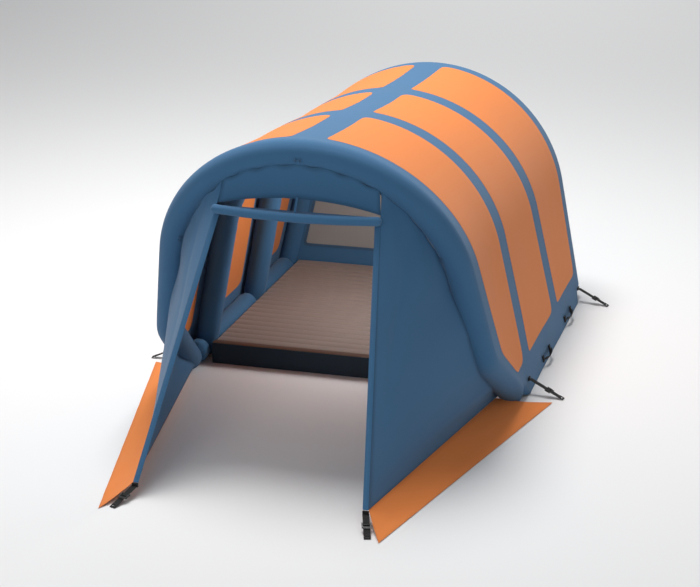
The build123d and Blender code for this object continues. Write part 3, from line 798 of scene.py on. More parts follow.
def wall_point(x, h, push=0.0):
    """A point of the rear wall; it bellies out a little in its middle."""
    belly = 0.010 * max(1 - (x / 0.9) ** 2, 0) * math.sin(math.pi * min(max(h / 1.5, 0), 1))
    y = WALL_Y + h * math.sin(REAR.lean) + (belly + push) * math.cos(REAR.lean) - 0.004
    return place((x, y, h * math.cos(REAR.lean) - push * math.sin(REAR.lean)))


def window_half(h, grow=0.0):
    """Half width of the window at a height, with its rounded corners."""
    half, _ = wall_outline(WINDOW_INSET - grow)
    low, high = SILL_H - grow, HEAD_H + grow
    corner = CORNER_R + grow
    near = min(h - low, high - h)
    if near <= 0:
        return half(h) - corner
    if near < corner:
        return half(h) - corner + math.sqrt(corner**2 - (corner - near) ** 2)
    return half(h)


def window_rows(grow, count=40):
    """Heights up the window, closer together round its corners."""
    low, high, corner = SILL_H - grow, HEAD_H + grow, CORNER_R + grow
    inner = [low + corner * (1 - math.cos(math.pi / 2 * k / 8)) for k in range(9)]
    middle = [lerp(low + corner, high - corner, k / count) for k in range(1, count)]
    outer = [high - corner * (1 - math.cos(math.pi / 2 * k / 8)) for k in range(8, -1, -1)]
    return inner + middle + outer


wall_half, wall_top = wall_outline(TUBE_INSET + TUBE_R - WALL_TUCK)


def wall_side(x_sign):
    """One side of the wall, from the window's edge out to the tube."""
    rows = [[wall_point(x_sign * lerp(window_half(h), wall_half(h), k / 6), h)
             for k in range(7)] for h in window_rows(0.0)]
    return turned(rows, x_sign > 0)


def wall_band(h0, h1, count, closed_top=False):
    """Rows of the wall right across, between two heights."""
    rows = []
    for i in range(count + 1):
        h = lerp(h0, h1, i / count)
        if closed_top:
            h = h0 + (h1 - h0) * math.sin(math.pi / 2 * i / count)
        w = wall_half(min(h, wall_top - 0.0005))
        rows.append([wall_point(lerp(w, -w, k / 44), h) for k in range(45)])
    return rows


lower = shell("wall_low", wall_band(0.0065, SILL_H, 10), CLOTH_T, blue)
upper = shell("wall_high", wall_band(HEAD_H, wall_top - 0.002, 26, True), CLOTH_T, blue)
sides = [shell(f"wall_side_{k}", wall_side(sign), CLOTH_T, blue)
         for k, sign in (("r", 1), ("l", -1))]
area = sum(o["flat_area"] for o in [lower, upper] + sides)
rear_wall = join("rear_wall_cloth", [lower, upper] + sides)
rear_wall["flat_area"] = area
stand_for(rear_wall, "blue_fabric", "rear_wall")
declare(rear_wall, 2.1, 1.55)

mesh_rows = []
for h in window_rows(WINDOW_LAP):
    w = window_half(h, WINDOW_LAP)
    mesh_rows.append([wall_point(lerp(w, -w, k / 40), h, 0.0012) for k in range(41)])
window = shell("window_mesh", mesh_rows, 0.0007, mesh_cloth)
stand_for(window, "grey_mesh", "rear_window_mesh")
declare(window, 1.95, 0.90)


def ring_band(name, grow_in, grow_out, push, thickness, material):
    """A closed strip of tape round the window."""
    def loop(grow):
        heights = window_rows(grow, 24)
        half_loop = [(window_half(h, grow), h) for h in heights]
        flat = [lerp(half_loop[-1][0], -half_loop[-1][0], k / 24) for k in range(1, 24)]
        right = [(x, h) for x, h in half_loop]
        top = [(x, heights[-1]) for x in flat]
        left = [(-x, h) for x, h in half_loop[::-1]]
        bottom = [(-x, heights[0]) for x in flat]
        return right + top + left + bottom
    loops = [loop(lerp(grow_in, grow_out, k / 3)) for k in range(4)]
    rows = []
    for j in range(len(loops[0]) + 1):
        i = j % len(loops[0])
        rows.append([wall_point(lp[i][0], lp[i][1], push - 0.0008 * (k in (0, 3)))
                     for k, lp in enumerate(loops)])
    return shell(name, rows, thickness, material)


binding = ring_band("window_binding", -0.011, 0.009, -0.0052, 0.0016, binding_tape)
stand_for(binding, "dark_binding", "rear_window_binding")


# ------------------------------------------------------------------ porch
def lacing_angle(u):
    u = min(u, 2 - u)
    for (u0, a0), (u1, a1) in zip(LACING_ANGLES, LACING_ANGLES[1:]):
        if u <= u1:
            return a0 + (a1 - a0) * smooth((u - u0) / (u1 - u0))
    return LACING_ANGLES[-1][1]


def lacing(u, lift=0.002, ahead=0.0):
    """The line on the front tube where the porch cloth is laced on."""
    centre = FRONT.at(u, TUBE_INSET)
    along = (FRONT.at(u + 0.004, TUBE_INSET) - FRONT.at(u - 0.004, TUBE_INSET)).normalized()
    outward = FRONT.at(u, TUBE_INSET - 0.01) - centre
    inward = (outward - along * outward.dot(along)).normalized() * -1
    forward = along.cross(inward)
    if forward.y > 0:
        forward = -forward
    angle = math.radians(lacing_angle(u) + ahead)
    return centre + (inward * math.cos(angle) + forward * math.sin(angle)) * (TUBE_R + lift)


def jamb(t, shift=0.0):
    return JAMB_FOOT.lerp(JAMB_HEAD, t) - Vector((shift, 0, 0))


def scallop(t, pitch_count, depth):
    """Laced cloth pulls away from the tube between its ties."""
    return depth * (0.5 - 0.5 * math.cos(2 * math.pi * t * pitch_count))


def wing_mesh(side, where):
    loose = 0.018 if side < 0 else 0.003     # the left wing pulls away more at its top

    def point(t, s):
        a, b = jamb(t), lacing(lerp(WING_FOOT_U, WING_HEAD_U, t), WING_LIFT)
        b = b + (a - b).normalized() * scallop(t, 9, 0.004 + loose * smooth((t - 0.55) / 0.25))
        p = a.lerp(b, s)
        middle = math.sin(math.pi * s) * math.sin(math.pi * min(t * 1.15, 1))
        crease = math.exp(-abs(s - 0.05 - 0.20 * t - 0.75 * t**3) / 0.09)
        pull = crease * math.sin(math.pi * t) * math.sin(math.pi * s) ** 0.5
        billow = 0.010 * middle - 0.009 * pull + 0.0025 * middle * wobble(p, 0.28, 5.5)
        across = (b - a).cross(jamb(1) - jamb(0)).normalized()
        p = p + across * billow * min((b - a).length / 0.5, 1)
        return place((side * p.x, p.y, max(p.z, GROUND)))

    obj = shell(f"wing_{where}_cloth", turned(sweep(60, 30, point), side < 0), CLOTH_T,
                blue_laced)
    stand_for(obj, "blue_fabric", "wing_" + where)
    declare(obj, 1.95, 1.85)


LINTEL_Y, LINTEL_Z, LINTEL_R = -0.275, 1.480, 0.028
LINTEL_HALF, LINTEL_BOW = 0.498, 0.060
STRIP_W = 0.033
STRIP_HEAD = (LINTEL_Z + 0.012 - JAMB_FOOT.z) / (JAMB_HEAD.z - JAMB_FOOT.z)


def strip_mesh(side, where):
    """The folded strip down the doorway's edge."""
    def point(t, s):
        p = jamb(STRIP_HEAD * t, 0.0005 + STRIP_W * s)
        p = p + Vector((0, -0.003 * math.sin(math.pi * s) - 0.0015, 0))
        return place((side * p.x, p.y, p.z))

    obj = shell(f"jamb_strip_{where}_cloth", turned(sweep(40, 8, point), side > 0), 0.003,
                blue_hem)
    stand_for(obj, "blue_fabric", "jamb_strip_" + where)


for side, where in ((1, "right"), (-1, "left")):
    wing_mesh(side, where)
    strip_mesh(side, where)

VALANCE_RISE, VALANCE_U, VALANCE_BACK = 0.062, 0.779, 0.009


def valance_mesh():
    corner = jamb((LINTEL_Z + 0.020 - JAMB_FOOT.z) / (JAMB_HEAD.z - JAMB_FOOT.z))

    def point(t, s):
        across = 1 - 2 * t
        low = Vector(((corner.x - 0.0015) * across, corner.y + VALANCE_BACK,
                      corner.z + VALANCE_RISE * (1 - across**2)))
        high = lacing(VALANCE_U + 2 * (1 - VALANCE_U) * t, 0.003)
        high = high + (low - high).normalized() * scallop(t, 6, 0.018)
        p = low.lerp(high, s)
        belly = 0.006 * math.sin(math.pi * s) * math.sin(math.pi * t)
        return place(p + Vector((0, belly + 0.0015 * wobble(p, 0.2, 2.2), 0)))

    obj = shell("valance_cloth", sweep(90, 16, point), CLOTH_T, blue_laced)
    stand_for(obj, "blue_fabric", "valance")
    declare(obj, 1.02, 0.28)


def arc_point(t, half, bow, y, z):
    """A shallow bow across the doorway, t from the right end (0) to the left end (1)."""
    radius = (half**2 + bow**2) / (2 * bow)
    x = half * (1 - 2 * t)
    return Vector((x, y - bow + radius - math.sqrt(radius**2 - x**2), z))


def lintel_mesh():
    count = 60
    centres = [place(arc_point(i / count, LINTEL_HALF, LINTEL_BOW, LINTEL_Y, LINTEL_Z))
               for i in range(count + 1)]

    def ripple(i, angle):
        end = min(i, count - i) / count
        return 0.0006 * math.cos(angle * 10) * max(1 - end / 0.06, 0)
    obj = tube("lintel_air_tube", centres, [LINTEL_R - 0.0004] * (count + 1), blue_tube,
               segments=32, ripple=ripple)
    stand_for(obj, "blue_fabric", "lintel_tube")


def web_mesh():
    """The flat lens of cloth behind the bowed tube."""
    low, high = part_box("lintel_web")
    back = high.y + ORIGIN_Y
    half, bow = high.x, high.y - low.y

    def point(t, s):
        front = arc_point(t, half, bow - 0.0005, back - 0.001, high.z)
        p = front.lerp(Vector((front.x, back, high.z)), s)
        return place((p.x, p.y, p.z - 0.0012 * math.sin(math.pi * s)))

    obj = shell("lintel_web_cloth", sweep(60, 8, point), 0.0018, blue)
    stand_for(obj, "blue_fabric", "lintel_web")
    declare(obj, 2 * half, bow)


def hanging_tape():
    low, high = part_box("lintel_strap")

    def point(t, s):
        y = lerp(low.y, high.y, t) + 0.002 * math.sin(math.pi * t)
        return Vector((lerp(0.007, -0.007, s), y, lerp(low.z, high.z, t)))

    obj = shell("lintel_hanging_tape", sweep(12, 4, point), 0.0012, blue)
    stand_for(obj, "blue_fabric", "lintel_strap")


valance_mesh()
lintel_mesh()
web_mesh()
hanging_tape()

# ------------------------------------------------------------------ ground skirts
SKIRT_FRONT, SKIRT_REAR = Vector((0.825, -1.430, 0.0016)), Vector((1.373, 0.868, 0.0016))


def skirt_mesh(side, where):
    hem_a = JAMB_FOOT + Vector((-0.0010, 0.010, -0.0024))
    hem_b = lacing(WING_FOOT_U, WING_LIFT) + Vector((-0.0010, 0, -0.0026))
    hem_b = hem_b + (hem_a - hem_b).normalized() * 0.038

    def point(t, s):
        p = hem_a.lerp(hem_b, t).lerp(SKIRT_FRONT.lerp(SKIRT_REAR, t), s)
        sag = 0.012 * math.sin(math.pi * s) * (0.7 + 0.3 * wobble((t * 3, s, side), 0.4, 1.1))
        ruffle = 0.0022 * s * (1 + wobble((t * 9, s * 0.4, side * 2), 0.5, 4.2))
        return place((side * p.x, p.y, max(p.z - sag + ruffle, GROUND + 0.0012)))

    obj = shell(f"skirt_{where}_cloth", turned(sweep(90, 14, point), side > 0), 0.0012,
                orange_skirt, body=None)
    stand_for(obj, "orange_fabric", "skirt_" + where, "skirt_tail_" + where)
    flat_width = ((SKIRT_FRONT - hem_a).length + (SKIRT_REAR - hem_b).length) / 2
    declare(obj, flat_width, (SKIRT_REAR - SKIRT_FRONT).length)
    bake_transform(obj)


skirt_mesh(1, "right")
skirt_mesh(-1, "left")


# ------------------------------------------------------------------ floor
FLOOR_LOW, FLOOR_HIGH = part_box("air_floor")
MAT_LOW, MAT_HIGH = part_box("floor_mat")
RIBS = 21


def mat_mesh():
    """The ribbed top of the floor; each rib is a soft roll with a narrow sewn valley."""
    rows = []
    pitch = (MAT_HIGH.y - MAT_LOW.y) / RIBS
    for rib in range(RIBS):
        for k in range(10 + (rib == RIBS - 1)):
            s = k / 10
            y = MAT_LOW.y + (rib + s) * pitch
            crown = 1 - abs(2 * s - 1) ** 2.6
            row = []
            for c in range(49):
                x = lerp(MAT_HIGH.x, MAT_LOW.x, c / 48)
                edge = min(x - MAT_LOW.x, MAT_HIGH.x - x)
                side_drop = 0.35 + 0.65 * smooth(edge / 0.03)
                pucker = 0.0006 * wobble((x * 8, y * 2, rib), 0.5, 7.7) * crown
                z = MAT_HIGH.z - 0.0115 + (0.0105 * crown) * side_drop + pucker
                row.append(Vector((x, y, z)))
            rows.append(row)
    obj = shell("floor_ribbed_top", turned(rows), 0.002, taupe)
    stand_for(obj, "taupe_floor_fabric", "floor_mat")
    declare(obj, 2.03, 1.99)


def pillow_block(name, low, high, bulge, material, rounding=0.03):
    """An inflated flat block: rounded plan, and sides that swell."""
    outline = []
    cx, cy = (low.x + high.x) / 2, (low.y + high.y) / 2
    hx, hy = (high.x - low.x) / 2 - bulge, (high.y - low.y) / 2 - bulge
    corners = ((1, -1, -90), (1, 1, 0), (-1, 1, 90), (-1, -1, 180))   # signs, first angle
    for i, (sx, sy, start) in enumerate(corners):
        for k in range(9):
            a = math.radians(start + 90 * k / 8)
            outline.append((cx + sx * (hx - rounding) + rounding * math.cos(a),
                            cy + sy * (hy - rounding) + rounding * math.sin(a),
                            math.cos(a), math.sin(a)))
        nsx, nsy, _ = corners[(i + 1) % 4]
        ax, ay = outline[-1][0], outline[-1][1]
        a = math.radians(start + 90)
        bx = cx + nsx * (hx - rounding) + rounding * math.cos(a)
        by = cy + nsy * (hy - rounding) + rounding * math.sin(a)
        for k in range(1, 24):
            outline.append((lerp(ax, bx, k / 24), lerp(ay, by, k / 24), math.cos(a), math.sin(a)))
    levels = [(-1.0, -0.012), (-0.97, -0.002)]
    levels += [(math.sin(math.radians(a)) * 0.97, math.cos(math.radians(a)) * bulge)
               for a in range(-75, 76, 15)]
    levels += [(0.97, -0.002), (1.0, -0.012)]
    verts, uvs, faces = [], [], []
    mid, half = (low.z + high.z) / 2, (high.z - low.z) / 2
    for level, out in levels:
        for j, (x, y, nx, ny) in enumerate(outline):
            verts.append((x + nx * out, y + ny * out, mid + half * level))
            uvs.append((j * 0.04, half * level))
    n = len(outline)
    for i in range(len(levels) - 1):
        for j in range(n):
            k = (j + 1) % n
            faces.append((i * n + j, i * n + k, (i + 1) * n + k, (i + 1) * n + j))
    faces.append(tuple(range(n - 1, -1, -1)))
    faces.append(tuple((len(levels) - 1) * n + j for j in range(n)))
    return new_object(name, verts, faces, material, "tent", uvs)


chamber = pillow_block("floor_chamber", FLOOR_LOW + Vector((0.001, 0.001, 0.0003)),
                       FLOOR_HIGH - Vector((0.001, 0.001, 0.002)), 0.010, taupe)
stand_for(chamber, "taupe_floor_fabric", "air_floor")


def front_face_mesh():
    """The dark face at the front of the floor, drawn in slightly at its foot."""
    low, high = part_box("floor_front_panel")

    def point(t, s):
        x = lerp(low.x, high.x, s)
        swell = -0.002 * math.sin(math.pi * t) + 0.0012 * wobble((x, t * 0.3, 1), 0.2, 8.3)
        return Vector((x, low.y + 0.0015 + swell, lerp(low.z, high.z, t)))

    obj = shell("floor_front_face", sweep(12, 60, point), 0.0022, navy)
    stand_for(obj, "navy_floor_fabric", "floor_front_panel")
    declare(obj, high.x - low.x, high.z - low.z)


def trim_mesh():
    """The brown edge rolled over the floor's front."""
    low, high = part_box("floor_front_trim")
    y0, y1, z0, z1 = low.y, high.y, low.z, high.z
    profile = [(y0 + 0.0005, z0), (y0 + 0.0002, z0 + 0.008), (y0 + 0.004, z1 - 0.003),
               (y0 + 0.012, z1 - 0.0002), (y0 + 0.030, z1), (y0 + 0.052, z1 - 0.0012),
               (y0 + 0.070, z1 - 0.0035), (y1 - 0.003, z1 - 0.0065), (y1, z1 - 0.010), (y1, z0)]
    verts, uvs, edges = [], [], []
    count = 70
    run = [0.0]
    for a, b in zip(profile, profile[1:]):
        run.append(run[-1] + math.dist(a, b))
    for i in range(count + 1):
        x = lerp(low.x, high.x, i / count)
        for k, (y, z) in enumerate(profile):
            lift = 0.0007 * wobble((x * 3, k * 0.3, 4), 0.4, 2.9) if 0 < k < 9 else 0
            verts.append((x, y, z + lift - 0.0007))
            uvs.append((x, run[k]))
            edges.append(min(run[k], run[-1] - run[k]))
    n = len(profile)
    faces = [(i * n + k, (i + 1) * n + k, (i + 1) * n + (k + 1) % n, i * n + (k + 1) % n)[::-1]
             for i in range(count) for k in range(n)]
    faces += [tuple(range(n)), tuple(count * n + k for k in range(n - 1, -1, -1))]
    obj = new_object("floor_rolled_trim", verts, faces, brown, "tent", uvs, edges)
    stand_for(obj, "brown_trim", "floor_front_trim")


mat_mesh()
front_face_mesh()
trim_mesh()


# ------------------------------------------------------------------ webbing and hardware
JOINTS = {j["name"]: j for j in frame["joints"]}


def strap_axes(key):
    """A strap's root and its directions along, across and up, from its two joints."""
    lift = JOINTS[f"strap_{key}_lift"]
    slide = JOINTS[f"buckle_{key}_slide"]
    along = Vector(slide["axis"]).normalized()
    across = Vector((0, 0, 1)).cross(along).normalized()
    return Vector(lift["pos_m"]), along, across, along.cross(across)


def node_spread(node, root, direction):
    """How far along a direction each point of a CAD node lies from a root."""
    co = np.array([v.co for v in frame["nodes"][node].data.vertices])
    return (co - np.array(root)) @ np.array(direction)


def strap_mesh(key):
    """A flat web with a doubled, bar-tacked end that has an eyelet slot for the peg."""
    root, along, across, up = strap_axes(key)
    length = float(node_spread("strap_" + key, root, along).max())
    fold, slot_at, slot_l, slot_w = 0.034, 0.015, 0.004, 0.011
    half = 0.0198
    xs = [0.0018] + [length * k / 30 for k in range(1, 26)]
    xs = [x for x in xs if x < length - fold - 0.004]
    xs += [length - fold - 0.001, length - fold + 0.001, length - fold + 0.006,
           length - slot_at - slot_l - 0.004, length - slot_at - slot_l,
           length - slot_at + slot_l, length - slot_at + slot_l + 0.004, length - 0.002,
           length]
    ys = [-half, -half + 0.0015, -slot_w - 0.004, -slot_w, 0, slot_w, slot_w + 0.004,
          half - 0.0015, half]
    verts, uvs, edges = [], [], []
    for layer in (1, 0):
        for x in xs:
            thick = 0.0017 + 0.0017 * smooth((x - length + fold + 0.002) / 0.003)
            for y in ys:
                roll = 0.0004 * (abs(y) > half - 0.001)
                wave = 0.0006 * math.sin(x / length * math.pi * 2.2) * (x < length - fold)
                z = thick - roll if layer else roll
                p = root + along * x + across * y + up * (z + max(wave, 0) * layer)
                verts.append(p)
                uvs.append((x, y))
                edges.append(min(half - abs(y), x, length - x) if layer else 1.0)
    count, cols = len(xs) * len(ys), len(ys)
    hole = {(i, j) for i in range(len(xs) - 1) for j in range(cols - 1)
            if abs((xs[i] + xs[i + 1]) / 2 - (length - slot_at)) < slot_l
            and abs((ys[j] + ys[j + 1]) / 2) < slot_w}
    faces = []
    for i in range(len(xs) - 1):
        for j in range(cols - 1):
            if (i, j) in hole:
                continue
            a = i * cols + j
            b, c, d = a + 1, a + cols + 1, a + cols
            faces += [(a, d, c, b), (a + count, b + count, c + count, d + count)]
            for di, dj, e, f in ((-1, 0, b, a), (1, 0, d, c), (0, -1, a, d), (0, 1, c, b)):
                near = (i + di, j + dj)
                outside = not (0 <= near[0] < len(xs) - 1 and 0 <= near[1] < cols - 1)
                if near in hole or outside:
                    faces.append((e, f, f + count, e + count)[::-1])
    obj = new_object(f"strap_{key}_web", verts, faces, webbing, f"strap_{key}_body", uvs, edges)
    stand_for(obj, "black_webbing", "strap_" + key)


def rod(a, b, r, material, body, name, segments=16):
    return tube(name, [Vector(a).lerp(Vector(b), k / 4) for k in range(5)], [r] * 5, material,
                body, segments=segments)


def buckle_mesh(key):
    """A ladder lock: side rails, a bar over the web, two under it and a ribbed lift tab."""
    root, along, across, up = strap_axes(key)
    side = node_spread("buckle_" + key, root, across)
    middle = node_spread("buckle_" + key, root, along).min() + 0.019
    half = (side.max() - side.min()) / 2
    zc = 0.0009              # half the web's thickness
    body = f"buckle_{key}_body"

    def at(x, y, z):
        return root + along * x + across * y + up * z
    items = []
    for s in (1, -1):
        items.append((at(middle, s * (half - 0.0034), zc), along, across, (0.038, 0.0066, 0.0105)))
    items.append((at(middle + 0.0235, 0, zc + 0.0042), along, across,
                  (0.0155, 2 * half - 0.009, 0.0028)))
    for k in range(3):
        items.append((at(middle + 0.0195 + 0.004 * k, 0, zc + 0.0059), along, across,
                      (0.0016, 2 * half - 0.016, 0.0012)))
    parts = [boxes("frame_" + key, items, black_plastic, body, bevel=0.0011, segments=3)]
    reach = half - 0.004
    for run, z, r in ((0, 0.0042, 0.0026), (-0.0158, -0.0042, 0.0025), (0.0158, -0.0042, 0.0025)):
        ends = [at(middle + run, y, zc + z) for y in (-reach, reach)]
        parts.append(rod(*ends, r, black_plastic, body, f"bar_{key}_{run:.4f}"))
    obj = join(f"ladder_lock_{key}", parts)
    stand_for(obj, "black_plastic", "buckle_" + key)
    return obj


for side in ("left", "right"):
    for spot in ("corner", "guy_front", "guy_rear"):
        strap_mesh(f"{spot}_{side}")
        buckle_mesh(f"{spot}_{side}")


def node_islands(node):
    """The boxes of a CAD node's separate solids."""
    mesh = frame["nodes"][node].data
    count = len(mesh.vertices)
    parent = list(range(count))
    seen = {}

    def find(i):
        while parent[i] != i:
            parent[i] = parent[parent[i]]
            i = parent[i]
        return i
    for i, v in enumerate(mesh.vertices):
        key = tuple(round(c, 5) for c in v.co)
        parent[find(i)] = find(seen.setdefault(key, i))
    for e in mesh.edges:
        parent[find(e.vertices[0])] = find(e.vertices[1])
    groups = {}
    for i, v in enumerate(mesh.vertices):
        groups.setdefault(find(i), []).append(v.co)
    return [(Vector(np.min(g, axis=0)), Vector(np.max(g, axis=0))) for g in groups.values()]


def tab_meshes():
    items = []
    for low, high in node_islands("strap_tabs"):
        centre, size = (low + high) / 2, high - low
        items.append((centre, (1, 0, 0), (0, 1, 0), size * 0.90))
        thin = Vector((size.x * 0.90, size.y * 0.90, 0.006))
        items.append((centre + Vector((0, 0, size.z * 0.28)), (1, 0, 0), (0, 1, 0),
                      thin + Vector((0.0008, 0.0008, 0))))
    obj = boxes("strap_tab_webs", items, webbing, bevel=0.0012)
    stand_for(obj, "black_webbing", "strap_tabs")


def patch_meshes():
    items = []
    for low, high in node_islands("handle_patches"):
        centre = (low + high) / 2
        side = 1 if centre.x > 0 else -1
        up = Vector((-side * math.sin(REAR.slope), 0, math.cos(REAR.slope)))
        items.append((centre, (0, 1, 0), up, (0.033, 0.043, 0.0075)))
        for dy in (-0.011, 0.011):
            items.append((centre + Vector((side * 0.0036, dy, 0.0007)), (0, 1, 0), up,
                          (0.0016, 0.034, 0.0022)))
    obj = boxes("handle_end_patches", items, webbing, bevel=0.0012)
    stand_for(obj, "black_webbing", "handle_patches")


def handle_mesh(key):
    """A bowed web with curled edges, drawn in where it is gripped."""
    side = 1 if key.endswith("right") else -1
    pivot = Vector(JOINTS[f"handle_{key}_swing"]["pos_m"])
    droop = math.radians(35)
    out = Vector((side * math.cos(droop), 0, -math.sin(droop)))
    up = Vector((side * math.sin(droop), 0, math.cos(droop)))
    half, rise, web = 0.095, 0.0235, 0.0148

    def point(t, s):
        s = lerp(1, -1, s)
        bow = rise * (1 - (2 * t - 1) ** 2)
        grip = 1 - 0.30 * math.exp(-((t - 0.5) / 0.16) ** 2)
        curl = 0.004 * (1 - grip) * 3 * s * s
        return (pivot + Vector((0, lerp(-half, half, t) * side, 0))
                + out * (bow + 0.0012 - curl) + up * (web * s * grip))

    obj = shell(f"handle_{key}_web", sweep(32, 8, point), 0.0026, webbing,
                body=f"handle_{key}_body")
    stand_for(obj, "black_webbing", "handle_" + key)


tab_meshes()
patch_meshes()
for side in ("left", "right"):
    for spot in ("front", "rear"):
        handle_mesh(f"{spot}_{side}")


def toggle_meshes():
    """Small cord loops with a toggle bar, at the arch's top and shoulders."""
    parts = []
    for u in (0.52, 1.0, 1.48):
        seat = lacing(u, 0.0120, TOGGLE_AHEAD)
        across = (lacing(u + 0.01) - lacing(u - 0.01)).normalized()
        away = (lacing(u, 0.02, TOGGLE_AHEAD) - lacing(u, 0.0, TOGGLE_AHEAD)).normalized()
        third = across.cross(away)
        for shift in (-0.014, 0.014):
            loop = [place(seat + across * shift + away * (0.0095 * math.sin(a) + 0.001)
                          + third * 0.0095 * math.cos(a))
                    for a in (2 * math.pi * k / 24 for k in range(25))]
            parts.append(tube(f"loop_{u:.2f}_{shift:.3f}", loop, [0.0019] * 25, binding_tape,
                              segments=10, ends="open"))
        parts.append(rod(place(seat + across * -0.022 + away * 0.0055),
                         place(seat + across * 0.022 + away * 0.0055), 0.0028, binding_tape, "tent",
                         f"toggle_{u:.2f}"))
    obj = join("lacing_toggles", parts)
    stand_for(obj, "dark_binding", "toggle_loops")


toggle_meshes()


# ------------------------------------------------------------------ inflation valve
def lathe(name, origin, axis, profile, material, body, segments=48, wobble_of=None):
    """A turned piece: profile is (radius, height) pairs along the axis, closed on itself."""
    axis = Vector(axis).normalized()
    a = axis.orthogonal().normalized()
    b = axis.cross(a)
    verts, faces, uvs = [], [], []
    n = len(profile)
    for j in range(segments):
        angle = 2 * math.pi * j / segments
        for k, (r, h) in enumerate(profile):
            grow = wobble_of(k, angle) if wobble_of else 0.0
            verts.append(Vector(origin) + axis * h
                         + (a * math.cos(angle) + b * math.sin(angle)) * (r + grow))
            uvs.append((angle * 0.02, h))
    for j in range(segments):
        j2 = (j + 1) % segments
        for k in range(n):
            k2 = (k + 1) % n
            faces.append((j * n + k, j2 * n + k, j2 * n + k2, j * n + k2))
    return new_object(name, verts, faces, material, body, uvs, sharp=30)


def valve_meshes():
    cap_hinge = JOINTS["valve_cap_swing"]
    press = JOINTS["valve_plunger_press"]
    axis = -Vector(press["axis"]).normalized()
    low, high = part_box("valve_plunger")
    centre = (low + high) / 2
    hinge = Vector(cap_hinge["pos_m"])
    down = (hinge - centre) - axis * (hinge - centre).dot(axis)
    drop = down.length
    down.normalize()
    top = (hinge - centre).dot(axis)
    rim = top - 0.0003
    # each (radius, depth below the rim): the flange, the threads and the mouth
    turns = ((0.0126, 0.0145), (0.0290, 0.0145), (0.0300, 0.0135), (0.0300, 0.0115),
             (0.0285, 0.0102), (0.0205, 0.0098), (0.0192, 0.0088), (0.0190, 0.0070),
             (0.0184, 0.0062), (0.0190, 0.0054), (0.0184, 0.0044), (0.0190, 0.0034),
             (0.0186, 0.0010), (0.0178, 0.0002), (0.0140, 0.0002), (0.0130, 0.0012))
    collar = lathe("valve_collar", centre, axis, [(r, rim - depth) for r, depth in turns],
                   black_plastic, "tent")
    lug = boxes("valve_lug", [(centre + down * (drop - 0.0045) + axis * (rim - 0.0062),
                               down.cross(axis), down, (0.0096, 0.0066, 0.0112))],
                black_plastic, "tent", bevel=0.001)
    spokes = boxes("valve_spokes", [
        (centre + axis * (rim - 0.0139), a, b, (0.0255, 0.0022, 0.0012))
        for a, b in ((down.cross(axis), down), (down, down.cross(axis)))],
        black_plastic, "tent", bevel=0.0003)
    body = join("valve_housing", [collar, lug, spokes])
    stand_for(body, "black_plastic", "valve_body")
    button = [(0.0001, -0.0018), (0.0046, -0.0018), (0.0049, -0.0014), (0.0049, 0.0034),
              (0.0044, 0.0040), (0.0030, 0.0043), (0.0001, 0.0041)]
    plunger = lathe("valve_button", centre, axis, button, black_plastic, "valve_plunger_body", 32)
    stand_for(plunger, "black_plastic", "valve_plunger")
    base = top + 0.0004
    lid = [(r, base + rise) for r, rise in (
        (0.0001, 0), (0.0200, 0), (0.0208, 0.0008), (0.0208, 0.0046), (0.0200, 0.0056),
        (0.0165, 0.0058), (0.0155, 0.0050), (0.0001, 0.0048))]

    def knurl(k, angle):
        return -0.0007 * (math.cos(angle * 24) > 0.3) if k in (2, 3) else 0.0
    cap = lathe("valve_lid", centre, axis, lid, black_plastic, "valve_cap_body", 144, knurl)
    grip = boxes("valve_lid_grip", [
        (centre + axis * (base + 0.0052), down.cross(axis), down, (0.0030, 0.0240, 0.0014)),
        (centre + down * (drop - 0.0045) + axis * (base + 0.0028), down.cross(axis), down,
         (0.0096, 0.0094, 0.0050))], black_plastic, "valve_cap_body", bevel=0.0008)
    cap = join("valve_screw_lid", [cap, grip])
    stand_for(cap, "black_plastic", "valve_cap")


valve_meshes()

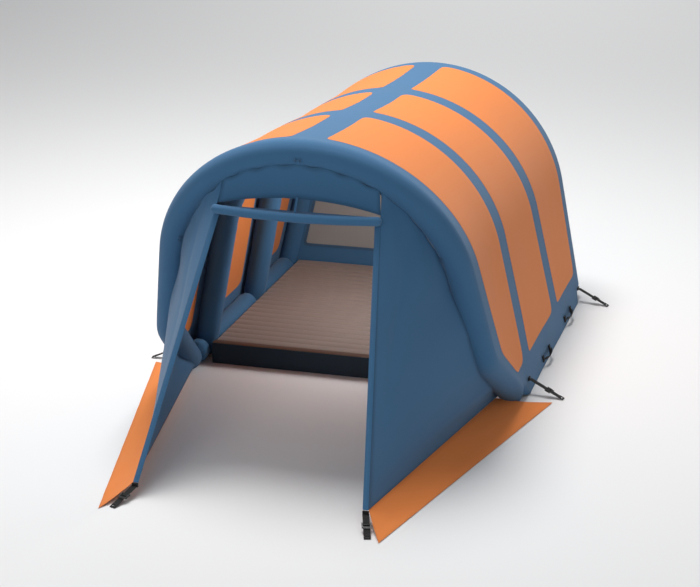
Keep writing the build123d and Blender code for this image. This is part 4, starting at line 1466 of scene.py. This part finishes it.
# ------------------------------------------------------------------ studio
def studio():
    floor_material = Nodes("studio_floor")
    floor_material.shader.inputs["Base Color"].default_value = colour(0.80, 0.80, 0.80)
    floor_material.shader.inputs["Roughness"].default_value = 0.9
    floor_material.shader.inputs["Specular IOR Level"].default_value = 0.1
    mesh = bpy.data.meshes.new("studio_floor")
    half, below = 600.0, -0.0002
    mesh.from_pydata([(x * half, y * half, below) for x, y in ((-1, -1), (1, -1), (1, 1), (-1, 1))],
                     [], [(0, 1, 2, 3)])
    floor = bpy.data.objects.new("studio_floor", mesh)
    mesh.materials.append(floor_material.material)
    bpy.context.scene.collection.objects.link(floor)

    world = bpy.data.worlds.new("studio")
    world.use_nodes = True
    sky = world.node_tree.nodes["Background"].inputs
    sky["Color"].default_value = colour(0.97, 0.98, 1.0)
    sky["Strength"].default_value = 0.38
    bpy.context.scene.world = world

    def area(name, place_at, aim, size, power):
        """A round soft light that the camera doesn't see."""
        light = bpy.data.lights.new(name, "AREA")
        light.shape = "DISK"
        light.size, light.energy = size, power
        obj = bpy.data.objects.new(name, light)
        obj.location = place_at
        obj.rotation_euler = (Vector(aim) - Vector(place_at)).to_track_quat("-Z", "Y").to_euler()
        obj.visible_camera = False
        bpy.context.scene.collection.objects.link(obj)

    area("top_light", (-1.4, 2.0, 8.6), (0, 0, 0), 4.4, 760)
    area("front_light", (-1.2, -10.5, 5.0), (0, -2.0, 0.9), 4.0, 130)
    area("far_light", (-2.0, 16.0, 9.0), (0, 15.0, 0), 9.0, 430)
    area("inside_light", (0.35, 0.8, 1.42), (-0.5, 0.9, 0.3), 0.8, 21)

    camera = bpy.data.cameras.new("camera")
    camera.lens, camera.sensor_width = 98.61, 36.0
    camera.clip_end = 2000
    obj = bpy.data.objects.new("camera", camera)
    obj.location = (3.2714, -10.6051 - ORIGIN_Y, 4.6387)
    obj.rotation_euler = (math.radians(71.40), 0, math.radians(15.87))
    bpy.context.scene.collection.objects.link(obj)
    bpy.context.scene.camera = obj
    bpy.context.scene.view_settings.view_transform = "Standard"


studio()
